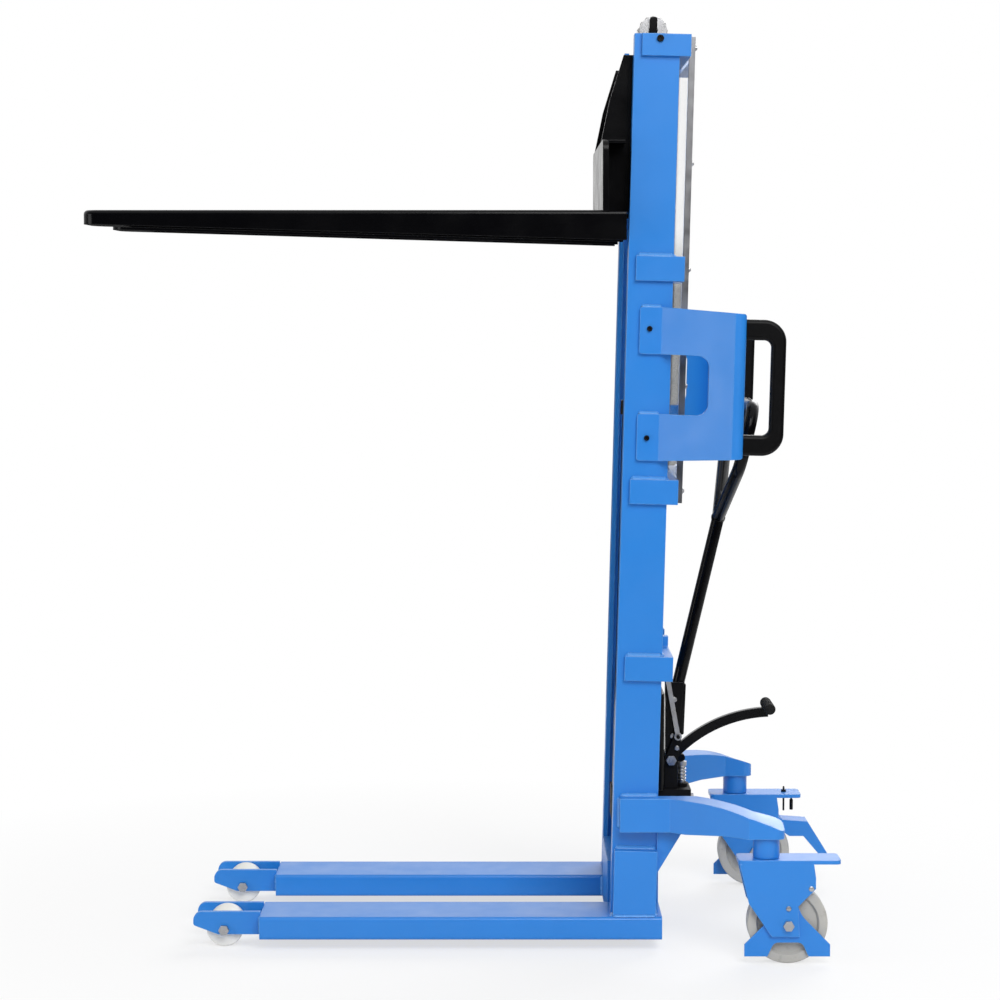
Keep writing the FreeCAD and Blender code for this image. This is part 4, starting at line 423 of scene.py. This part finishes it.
class Shape:
    """Points and faces of one piece, in metres."""

    def __init__(self):
        self.points = []
        self.faces = []

    def add(self, points, faces):
        start = len(self.points)
        self.points += [Vector(p) for p in points]
        self.faces += [[start + i for i in face] for face in faces]

    def loft(self, rings):
        """Rings of equal length joined by quads, with flat ends."""
        count = len(rings[0])
        points = [p for ring in rings for p in ring]
        faces = []
        for i in range(len(rings) - 1):
            near = i * count
            far = near + count
            for k in range(count):
                following = (k + 1) % count
                faces.append([near + k, near + following, far + following, far + k])
        faces.append(list(range(count))[::-1])
        faces.append(list(range(len(points) - count, len(points))))
        self.add(points, faces)

    def turned(self, centre, axis, profile, steps):
        """A profile of (radius, distance along axis) in millimetres turned about the axis."""
        across, other = square_to(axis)
        rings = []
        for radius, along in profile:
            ring = []
            for step in range(steps):
                turn = FULL_TURN * step / steps
                out = across * math.cos(turn) + other * math.sin(turn)
                ring.append(centre + (axis * along + out * radius) * MM)
            rings.append(ring)
        self.loft(rings)

    def hexagon(self, centre, axis, flats, height, socket=False):
        """A bolt head or nut with chamfered corners, or a round head with a hexagon socket."""
        across, other = square_to(axis)
        steps = 24
        half = flats / 2

        def ring(radius_of, along_of):
            points = []
            for step in range(steps):
                turn = FULL_TURN * step / steps
                radius = radius_of(turn)
                out = (across * math.cos(turn) + other * math.sin(turn)) * radius
                points.append(centre + (axis * along_of(radius) + out) * MM)
            return points

        def hex_radius(size):
            def radius(turn):
                sector = math.radians(60)
                return size / 2 / math.cos((turn + sector / 2) % sector - sector / 2)
            return radius

        if socket:
            socket_share = 0.52
            rim_share = 0.9
            side_share = 0.86
            floor_share = 0.4
            recess = hex_radius(flats * socket_share)
            rings = [
                ring(lambda t: half, lambda r: 0.0),
                ring(lambda t: half, lambda r: height * side_share),
                ring(lambda t: half * rim_share, lambda r: height),
                ring(recess, lambda r: height),
                ring(recess, lambda r: height * floor_share),
            ]
        else:
            face_share = 0.96
            bore_share = 0.6
            chamfer = 0.58
            outline = hex_radius(flats)
            inner = half * face_share
            rings = [
                ring(outline, lambda r: 0.0),
                ring(outline, lambda r: height - max(0.0, r - inner) * chamfer),
                ring(lambda t: inner, lambda r: height),
                ring(lambda t: inner * bore_share, lambda r: height),
            ]
        self.loft(rings)

    def bead(self, start, end, first, second, size):
        """A rippled fillet weld in the corner whose two faces run along first and second."""
        run = end - start
        ripple = 4.5 * MM
        ripple_steps = 3
        ripple_swell = 0.10
        fewest = 6
        end_share = 0.45
        root_share = 0.15
        bulge = 0.35
        arcs = 4
        count = max(fewest, round(run.length / ripple) * ripple_steps)
        rings = []
        for i in range(count + 1):
            share = i / count
            swell = 1.0 + ripple_swell * math.cos(FULL_TURN * i / ripple_steps)
            ends = min(1.0, end_share + min(share, 1.0 - share) * run.length / (size * MM))
            leg = size * swell * ends * MM
            place = start + run * share
            ring = [place - (first + second) * (root_share * leg)]
            for step in range(arcs + 1):
                turn = math.radians(90) * step / arcs
                curve = first * math.cos(turn) + second * math.sin(turn)
                straight = first * (1 - step / arcs) + second * (step / arcs)
                ring.append(place + (curve * bulge + straight * (1.0 - bulge)) * leg)
            rings.append(ring)
        self.loft(rings)

    def piece(self, name, material, body, crease=35.0):
        """The finished object, riding on its body where one is named."""
        mesh = bpy.data.meshes.new(name)
        mesh.from_pydata(self.points, [], self.faces)
        mesh.update()
        obj = bpy.data.objects.new(name, mesh)
        bpy.context.scene.collection.objects.link(obj)
        for polygon in mesh.polygons:
            polygon.use_smooth = True
        mesh.set_sharp_from_angle(angle=math.radians(crease))
        mesh.materials.append(material)
        if body:
            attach(obj, body)
        return obj


# Lift chain


def link_outline(pitch):
    """Figure of eight plate as (along, across) points."""
    lobe_start = 65
    lobe_sweep = 230
    lobe_steps = 8
    points = []
    for centre, start, waist in ((0.0, lobe_start, -PLATE_WAIST), (pitch, lobe_start - 180, PLATE_WAIST)):
        for step in range(lobe_steps + 1):
            turn = math.radians(start + lobe_sweep * step / lobe_steps)
            points.append((centre + PLATE_RADIUS * math.cos(turn), PLATE_RADIUS * math.sin(turn)))
        points.append((pitch / 2, waist))
    return points


def chain_links(shape, pins, first_link, y):
    """Plates between successive pins, given as mast (x, z), with a rivet at every pin."""
    half = PLATES * PLATE_THICK / 2
    for index in range(len(pins) - 1):
        (x0, z0), (x1, z1) = pins[index], pins[index + 1]
        length = math.hypot(x1 - x0, z1 - z0)
        run_x = (x1 - x0) / length
        run_z = (z1 - z0) / length
        outline = link_outline(length)
        for layer in range((index + first_link) % 2, PLATES, 2):
            low = y - half + layer * PLATE_THICK + PLATE_GAP / 2
            rings = []
            for side in (low, low + PLATE_THICK - PLATE_GAP):
                ring = []
                for s, h in outline:
                    ring.append(mast(x0 + run_x * s - run_z * h, side, z0 + run_z * s + run_x * h))
                rings.append(ring)
            shape.loft(rings)
    reach = half + PIN_END
    chamfer = 0.5
    tip = PIN_RADIUS * 0.7
    profile = [(tip, 0.0), (PIN_RADIUS, chamfer), (PIN_RADIUS, 2 * reach - chamfer), (tip, 2 * reach)]
    for x, z in pins:
        shape.turned(mast(x, y - reach, z), SIDE, profile, steps=10)


def straight_pins(x, low, high):
    """Places of the pins of a straight run, as close to the chain's pitch as whole links allow."""
    links = round((high - low) / CHAIN_PITCH)
    return [(x, low + (high - low) * i / links) for i in range(links + 1)]


def front_chain():
    """Moving runs, built as three lengths."""
    x = MAST_MID - CHAIN_RADIUS
    low = FRONT_ANCHOR_Z + ANCHOR_RISE
    pins = straight_pins(x, low, SHEAVE_Z)
    lengths = 3
    links = len(pins) - 1
    for part in range(lengths):
        first = links * part // lengths
        last = links * (part + 1) // lengths
        shape = Shape()
        for y in (-CHAIN_Y, CHAIN_Y):
            chain_links(shape, pins[first:last + 1], first, y)
        name = "front_chain_" + str(part + 1)
        obj = shape.piece(name, CHAIN_STEEL, None)
        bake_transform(obj)
        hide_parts("front_chain_runs")


def rear_chain():
    """Fixed runs, which shorten towards their anchors as the sheaves come down."""
    x = MAST_MID + CHAIN_RADIUS
    low = REAR_ANCHOR_Z + ANCHOR_RISE
    shape = Shape()
    for y in (-CHAIN_Y, CHAIN_Y):
        chain_links(shape, straight_pins(x, low, SHEAVE_Z), 0, y)
    obj = shape.piece("rear_chain", CHAIN_STEEL, "chassis")
    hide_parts("rear_chain_runs")
    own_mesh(obj)


def chain_over_sheaves():
    """Half turns over the sheaves, whose plates carry on the order of the front runs."""
    shape = Shape()
    pins = []
    for i in range(ARC_LINKS + 1):
        turn = math.pi * i / ARC_LINKS
        pins.append((MAST_MID - CHAIN_RADIUS * math.cos(turn), SHEAVE_Z + CHAIN_RADIUS * math.sin(turn)))
    front_links = round((SHEAVE_Z - FRONT_ANCHOR_Z - ANCHOR_RISE) / CHAIN_PITCH)
    for y in (-CHAIN_Y, CHAIN_Y):
        chain_links(shape, pins, front_links, y)
    obj = shape.piece("chain_over_sheaves", CHAIN_STEEL, "lift_rod")
    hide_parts("chain_arcs")


def chain_anchors():
    """Clevis, stud and nuts at each chain end, the front ones short enough to clear the base when lowered."""
    front_lug, front_nuts = 30.0, 1
    rear_lug, rear_nuts = 21.0, 2
    clevis_inner = 8.3
    clevis_thick = 1.6
    clevis_radius = 5.5
    clevis_steps = 6
    nut_pitch = 9.0
    stud_spare = 3.0
    stud_radius = 5.0
    tip_radius = 4.0
    tip_length = 1.5
    for name, body, x, top, lug, nuts in (
        ("front_chain_anchors", "carriage", MAST_MID - CHAIN_RADIUS, FRONT_ANCHOR_Z, front_lug, front_nuts),
        ("rear_chain_anchors", "chassis", MAST_MID + CHAIN_RADIUS, REAR_ANCHOR_Z, rear_lug, rear_nuts),
    ):
        shape = Shape()
        stud = nut_pitch * nuts + stud_spare
        stud_profile = [(stud_radius, 0.0), (stud_radius, stud - tip_length), (tip_radius, stud)]
        for y in (-CHAIN_Y, CHAIN_Y):
            for edge in (-clevis_inner - clevis_thick, clevis_inner):
                rings = []
                for depth in (y + edge, y + edge + clevis_thick):
                    ring = [mast(x - clevis_radius, depth, top), mast(x + clevis_radius, depth, top)]
                    for step in range(clevis_steps + 1):
                        turn = math.pi * step / clevis_steps
                        eye_x = x + clevis_radius * math.cos(turn)
                        ring.append(mast(eye_x, depth, top + ANCHOR_RISE + clevis_radius * math.sin(turn)))
                    rings.append(ring)
                shape.loft(rings)
            shape.turned(mast(x, y, top - lug), -UP, stud_profile, steps=16)
            for nut in range(nuts):
                shape.hexagon(mast(x, y, top - lug - nut_pitch * nut), -UP, flats=17.0, height=8.0)
        shape.piece(name, ZINC, body)


# Welds and fasteners


def chassis_welds():
    """Painted fillet welds where bands, shoes, arms and cheeks meet the mast and legs, in a paler blue that paints
    a highlight along them.
    """
    shape = Shape()
    ahead = -REARWARD
    inset = 2.0
    web_rear = MAST_DEPTH - 1.0
    flange_end = 196.0
    tab_rear = 70.0
    shoe_front, shoe_rear, shoe_top = 6.0, 92.6, 205.0
    shoe_toe, shoe_face = 5.6, 268.0
    arm_span = (22.0, 97.0)
    beam_low = 24.0
    cheek_offset, cheek_low, cheek_high = 47.5, 30.0, LEG_TOP - 3.0
    # Runs along the top of each leg, round the shoe's foot: start and end as (x, y), and the way they face
    foot_runs = (
        ((7.0, shoe_face), (92.0, shoe_face), None, FINE_WELD),
        ((shoe_rear, 262.0), (shoe_rear, 197.0), REARWARD, PLAIN_WELD),
        ((shoe_toe, 264.0), (shoe_toe, 240.0), ahead, PLAIN_WELD),
    )
    for sign in (-1, 1):
        out = SIDE * sign
        web = MAST_HALF * sign
        for foot in BAND_FEET:
            top = foot + BAND_HEIGHT
            shape.bead(mast(BAND_FRONT + inset, web, top), mast(web_rear, web, top), out, UP, MAST_WELD)
            start = mast(MAST_DEPTH, web - inset * sign, top)
            shape.bead(start, mast(MAST_DEPTH, flange_end * sign, top), BACK, UP, PLAIN_WELD)
        for top in TAB_TOPS:
            shape.bead(mast(TAB_FRONT + inset, web, top), mast(tab_rear, web, top), out, UP, PLAIN_WELD)
        shape.bead(mast(shoe_front, web, shoe_top), mast(web_rear, web, shoe_top), out, UP, MAST_WELD)
        for (x0, y0), (x1, y1), facing, size in foot_runs:
            start = floor_point(x0, y0 * sign, LEG_TOP)
            shape.bead(start, floor_point(x1, y1 * sign, LEG_TOP), facing or out, PLUMB, size)
        arm_start, arm_end = (floor_point(x, web, ARM_TOP) for x in arm_span)
        shape.bead(arm_start, arm_end, out, PLUMB, ARM_WELD)
        arm_foot = floor_point(ARM_FRONT, web, ARM_BOTTOM + inset)
        shape.bead(arm_foot, floor_point(ARM_FRONT, web, ARM_TOP - inset), ahead, out, PLAIN_WELD)
        beam = LEG_INNER * sign
        start = floor_point(0, beam, beam_low)
        shape.bead(start, floor_point(0, beam, LEG_TOP - inset), ahead, -out, PLAIN_WELD)
        for side in (-1, 1):
            y = LEG_CENTRE * sign + cheek_offset * side
            start = floor_point(LEG_FRONT, y, cheek_low)
            shape.bead(start, floor_point(LEG_FRONT, y, cheek_high), SIDE * side, ahead, FINE_WELD)
    shape.piece("chassis_welds", WELD_PAINTED_HIGHLIGHT, "chassis", crease=60.0)


def mast_bolts():
    """Socket screws of the handle brackets and of the top band."""
    shape = Shape()
    band_x, band_y, band_z = TOP_BAND_SCREW
    for sign in (-1, 1):
        out = SIDE * sign
        for z in TAB_SCREW_LEVELS:
            shape.hexagon(mast(TAB_SCREW_X, TAB_FACE * sign, z), out, flats=11.0, height=5.0, socket=True)
        shape.hexagon(mast(band_x, band_y * sign, band_z), out, flats=14.0, height=6.0, socket=True)
    shape.piece("mast_bolts", BLACK_OXIDE, "chassis")


def guard_screws():
    """Pan heads with washers that hold the guard strips to the bands."""
    shape = Shape()
    washer = [(6.0, 0.0), (6.0, 1.2), (5.7, 1.4), (2.0, 1.4)]
    head = [(4.4, 1.3), (4.4, 2.6), (3.6, 3.7), (2.2, 4.2), (0.5, 4.3)]
    for y in (-STRIP_Y, STRIP_Y):
        for z in STRIP_SCREW_LEVELS:
            centre = mast(STRIP_REAR, y, z)
            shape.turned(centre, BACK, washer, steps=24)
            shape.turned(centre, BACK, head, steps=20)
    shape.piece("guard_screws", ZINC, "chassis")


def pump_fittings():
    """Plugs, cap screws and filler on the hydraulic block and tank."""
    dark = Shape()
    cap_x, cap_y = 24.0, 37.0
    plug_places = ((62.0, 190.0), (104.0, 190.0), (110.0, VALVE_LEVEL))
    filler_y, vent_y = 34.0, -36.0
    filler = [(8.5, 0.0), (8.5, 5.0), (11.0, 5.0), (11.0, 15.0), (9.5, 17.0), (4.0, 17.5)]
    relief_y, check_y = 6.0, -28.0
    stop_screw = (150.0, -36.0, 377.0)
    for sign in (-1, 1):
        dark.hexagon(floor_point(cap_x, cap_y * sign, BLOCK_TOP), PLUMB, flats=14.0, height=8.0, socket=True)
    for sign in (-1, 1):
        for x, z in plug_places:
            place = floor_point(x, BLOCK_SIDE * sign, z)
            dark.hexagon(place, SIDE * sign, flats=16.0, height=4.0, socket=True)
    dark.turned(floor_point(TANK_X, filler_y, TANK_TOP), PLUMB, filler, steps=24)
    dark.piece("pump_plugs", BLACK_OXIDE, "chassis")
    bright = Shape()
    bright.hexagon(floor_point(MANIFOLD_REAR, relief_y, VALVE_LEVEL), REARWARD, flats=19.0, height=9.0)
    bright.hexagon(floor_point(MANIFOLD_REAR, check_y, VALVE_LEVEL), REARWARD, flats=14.0, height=8.0)
    bright.hexagon(floor_point(*stop_screw), -SIDE, flats=9.0, height=5.0)
    bright.hexagon(floor_point(TANK_X, vent_y, TANK_TOP), PLUMB, flats=14.0, height=7.0)
    bright.piece("pump_valve_caps", ZINC, "chassis")


def rocker_screws():
    """Clamp screws that hold the hand lever in its socket."""
    shape = Shape()
    socket_side = 19.0
    places = ((141.0, 400.0), (145.0, 478.0))
    for sign in (-1, 1):
        for x, z in places:
            shape.hexagon(floor_point(x, socket_side * sign, z), SIDE * sign, flats=10.0, height=5.0)
    shape.piece("rocker_screws", ZINC, "rocker")


def socket_clamp():
    """Folded clamp plate behind the hand lever's socket."""
    half = 16.0
    fold = 3.0
    foot = 402.0
    foot_front = 154.0
    lean = 0.085
    levels = ((foot, 164.5), (404.0, 166.0), (508.0, 170.0), (510.0, 169.0))
    rings = []
    for z, rear in levels:
        front = foot_front + (z - foot) * lean
        right = ((front, -half), (rear - fold, -half), (rear, fold - half))
        left = [(x, -y) for x, y in reversed(right)]
        rings.append([floor_point(x, y, z) for x, y in (*right, *left)])
    shape = Shape()
    shape.loft(rings)
    shape.piece("socket_clamp", BLACK, "rocker")


def lever_gusset():
    """Plate in the fork of the hand lever, with a hollowed top edge between the loop's two arms."""
    tilt = math.radians(LEVER_TILT)
    along = Vector((math.sin(tilt), 0.0, math.cos(tilt)))
    across = Vector((math.cos(tilt), 0.0, -math.sin(tilt)))
    fork = floor_point(*LEVER_FORK)
    half, rise, hollow, thick = 105.0, 68.0, 22.0, 6.0
    root_half, root_rise = 4.0, 3.0
    outline = [(root_half, root_rise), (-root_half, root_rise)]
    steps = 16
    for step in range(steps + 1):
        share = 2.0 * step / steps - 1.0
        outline.append((half * share, rise - hollow * (1.0 - share * share)))
    rings = []
    for depth in (-thick / 2, thick / 2):
        rings.append([fork + (SIDE * y + along * s + across * depth) * MM for y, s in outline])
    shape = Shape()
    shape.loft(rings)
    shape.piece("lever_gusset", BLACK, "rocker")


def plunger_coil():
    """Return spring round the plunger, which shortens on each stroke."""
    low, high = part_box("plunger_spring")
    centre = (low + high) / 2
    wire = 1.4 * MM
    radius = (high.x - low.x) / 2 - wire
    turns = 5
    steps = 36 * turns
    sides = 12
    rise = high.z - low.z - 2 * wire
    rings = []
    for step in range(steps + 1):
        turn = FULL_TURN * turns * step / steps
        out = Vector((math.cos(turn), math.sin(turn), 0.0))
        run = Vector((-math.sin(turn), math.cos(turn), rise / (FULL_TURN * turns * radius))).normalized()
        over = run.cross(out)
        place = Vector((centre.x, centre.y, low.z + wire + rise * step / steps)) + out * radius
        ring = []
        for side in range(sides):
            round_wire = FULL_TURN * side / sides
            ring.append(place + (out * math.cos(round_wire) + over * math.sin(round_wire)) * wire)
        rings.append(ring)
    shape = Shape()
    shape.loft(rings)
    obj = shape.piece("plunger_coil", ZINC, "chassis", crease=60.0)
    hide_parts("plunger_spring")
    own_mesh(obj)


def gland_ring():
    """Wiper ring on top of the gland."""
    shape = Shape()
    ring = [(30.0, -1.0), (30.0, 3.0), (27.5, 5.0), (20.0, 5.0), (18.4, 3.0), (18.4, -1.0)]
    shape.turned(mast(MAST_MID, 0, GLAND_TOP), UP, ring, steps=40)
    shape.piece("gland_wiper", RUBBER, "chassis")


def caster_fasteners():
    """Guard screws of both casters, and a pivot pin head on each outer cheek."""
    screw_x, screw_z = 395.0, 154.0
    screw = [(5.2, 0.0), (5.2, 0.9), (4.2, 1.6), (1.5, 1.8)]
    pin_z = 114.0
    pin = [(5.5, 0.0), (5.5, 1.5), (4.0, 3.6), (1.5, 4.2)]
    for side, sign in (("left", -1), ("right", 1)):
        shape = Shape()
        for face in (-1, 1):
            out = SIDE * face
            y = SWIVEL_Y * sign + CHEEK_FACE * face
            shape.turned(floor_point(screw_x, y, screw_z), out, screw, steps=20)
            if face == sign:
                shape.turned(floor_point(WHEEL_X, y, pin_z), out, pin, steps=20)
        shape.piece(side + "_caster_screws", ZINC, side + "_caster")


def brake_adjuster():
    """Stop rod with a lock nut and a short bumper, both through the rear of the right caster plate."""
    shape = Shape()
    rod_x, bumper_x = 418.5, 436.0
    foot, rod_start = 168.0, 169.5
    rod_above = 12.0
    tip, crest, root = 1.6, 2.4, 2.0
    thread = 1.6
    crest_share, root_share = 0.2, 0.7
    profile = [(tip, foot), (crest, rod_start)]
    turns = round((PLATE_TOP + rod_above - rod_start) / thread)
    for turn in range(turns):
        low = rod_start + turn * thread
        profile += [(crest, low + crest_share * thread), (root, low + root_share * thread)]
    profile.append((tip, PLATE_TOP + rod_above + 0.5))
    shape.turned(floor_point(rod_x, SWIVEL_Y, 0.0), PLUMB, profile, steps=16)
    shape.hexagon(floor_point(rod_x, SWIVEL_Y, PLATE_TOP), PLUMB, flats=10.0, height=5.0)
    bumper = [(3.4, 170.0), (4.0, 171.0), (4.0, 193.0), (2.4, 194.0), (2.4, PLATE_TOP - 6.0)]
    shape.turned(floor_point(bumper_x, SWIVEL_Y, 0.0), PLUMB, bumper, steps=20)
    shape.piece("brake_adjuster", BLACK_OXIDE, "right_caster")


def pedal_tread():
    """Ribbed rubber sleeve on the end of the foot pedal."""
    low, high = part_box("pedal_pad")
    centre = (low + high) / 2
    half = (high.y - low.y) / 2 / MM
    radius = (high.z - low.z) / 2 / MM
    # The rounded end as (depth below the radius, distance from the end)
    rounded = ((5.0, 0.0), (1.5, 0.8), (0.4, 3.0))
    margin = 4.0
    crest, groove = radius - 0.1, radius - 1.6
    ribs = 14
    pitch = (2 * half - 2 * margin) / ribs
    rib_shape = ((crest, 0.15), (crest, 0.6), (groove, 0.72), (groove, 0.95))
    profile = [(radius - depth, inwards - half) for depth, inwards in rounded]
    for rib in range(ribs):
        start = margin - half + rib * pitch
        profile += [(size, start + share * pitch) for size, share in rib_shape]
    profile += [(radius - depth, half - inwards) for depth, inwards in reversed(rounded)]
    shape = Shape()
    shape.turned(centre, SIDE, profile, steps=40)
    obj = shape.piece("pedal_tread", RUBBER, "rocker", crease=50.0)
    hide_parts("pedal_pad")


# Stage, with its sizes in metres


def make_world():
    """White studio: plain white to the camera, and in reflections dim near the floor and in front."""
    world = bpy.data.worlds.new("studio")
    nodes = Nodes("studio", world)
    path = nodes.add("ShaderNodeLightPath").outputs
    direction = nodes.add("ShaderNodeSeparateXYZ", Vector=nodes.place).outputs
    front = nodes.remap(direction["Z"], low=0.42, high=0.77, to_low=0.06)
    behind = nodes.remap(direction["Z"], low=0.008, high=0.03, to_low=0.04)
    mirrored = nodes.blend(nodes.remap(direction["Y"], low=-0.2, high=0.3), front, behind)
    lit = nodes.blend(path["Is Glossy Ray"], AMBIENT, mirrored)
    seen = nodes.math("MAXIMUM", path["Is Camera Ray"], path["Is Transmission Ray"])
    nodes.set(nodes.shader, "Strength", nodes.blend(seen, lit, 1.0))
    nodes.shader.inputs["Color"].default_value = (1.0, 1.0, 1.0, 1.0)
    bpy.context.scene.world = world


def make_floor():
    """Pale round floor that keeps a soft shadow and fades to plain white away from the object."""
    steps = 96
    size = 3.2
    drop = 0.5 * MM
    ring = []
    for step in range(steps):
        turn = FULL_TURN * step / steps
        ring.append((size * math.cos(turn), size * math.sin(turn), 0.0))
    mesh = bpy.data.meshes.new("floor")
    mesh.from_pydata(ring, [], [list(range(steps))])
    floor = bpy.data.objects.new("floor", mesh)
    bpy.context.scene.collection.objects.link(floor)
    floor.location.z = -drop
    nodes = Nodes("floor")
    paper = nodes.noise(scale=3.0)
    nodes.finish(
        nodes.mix(paper, (0.92, 0.92, 0.92), (0.94, 0.94, 0.94)),
        nodes.spread(paper, to_low=0.8, to_high=0.9),
        nodes.bump(nodes.noise(scale=300.0), strength=0.02, distance=0.0002),
        Specular_IOR_Level=0.1,
    )
    length = nodes.add("ShaderNodeVectorMath")
    length.operation = "LENGTH"
    nodes.tree.links.new(nodes.place, length.inputs[0])
    path = nodes.add("ShaderNodeLightPath").outputs
    seen = nodes.math("MAXIMUM", path["Is Camera Ray"], path["Is Transmission Ray"])
    fade = nodes.math("MULTIPLY", seen, nodes.remap(length.outputs["Value"], low=0.7, high=1.7, to_low=0.66))
    white = nodes.add("ShaderNodeEmission", Color=(1.0, 1.0, 1.0, 1.0), Strength=1.0)
    mixed = nodes.add("ShaderNodeMixShader")
    nodes.tree.links.new(fade, mixed.inputs[0])
    nodes.tree.links.new(nodes.shader.outputs["BSDF"], mixed.inputs[1])
    nodes.tree.links.new(white.outputs["Emission"], mixed.inputs[2])
    nodes.tree.links.new(mixed.outputs["Shader"], nodes.tree.nodes["Material Output"].inputs["Surface"])
    mesh.materials.append(nodes.material)


def add_light(name, place, target, size, power):
    """A square soft light that faces its target."""
    light = bpy.data.lights.new(name, "AREA")
    light.size = size
    light.energy = power
    obj = bpy.data.objects.new(name, light)
    obj.location = place
    obj.rotation_euler = (Vector(target) - Vector(place)).to_track_quat("-Z", "Y").to_euler()
    bpy.context.scene.collection.objects.link(obj)


def make_camera():
    """The photograph's viewpoint: beside the mast, a little above its middle, dipped towards the floor."""
    dip = 4.253
    camera = bpy.data.cameras.new("camera")
    camera.sensor_width = 36.0
    camera.lens = 95.36
    obj = bpy.data.objects.new("camera", camera)
    obj.location = floor_point(x=-223.97, y=-5582.0, z=1315.0)
    obj.rotation_euler = (math.radians(90.0 - dip), 0.0, 0.0)
    bpy.context.scene.collection.objects.link(obj)
    bpy.context.scene.camera = obj


dress_cad_nodes()
front_chain()
rear_chain()
chain_over_sheaves()
chain_anchors()
chassis_welds()
mast_bolts()
guard_screws()
pump_fittings()
rocker_screws()
socket_clamp()
lever_gusset()
plunger_coil()
gland_ring()
caster_fasteners()
brake_adjuster()
pedal_tread()
make_world()
make_floor()
add_light("key", place=(1.5, -4.6, 4.2), target=(0.2, 0.0, 0.9), size=3.0, power=210.0)
add_light("back", place=(2.2, 4.4, 3.6), target=(0.1, 0.0, 0.9), size=3.0, power=153.0)
add_light("side", place=(-4.5, -1.95, 1.0), target=(0.45, -0.3, 1.15), size=2.0, power=42.0)
make_camera()
bpy.context.scene.view_settings.view_transform = "Standard"
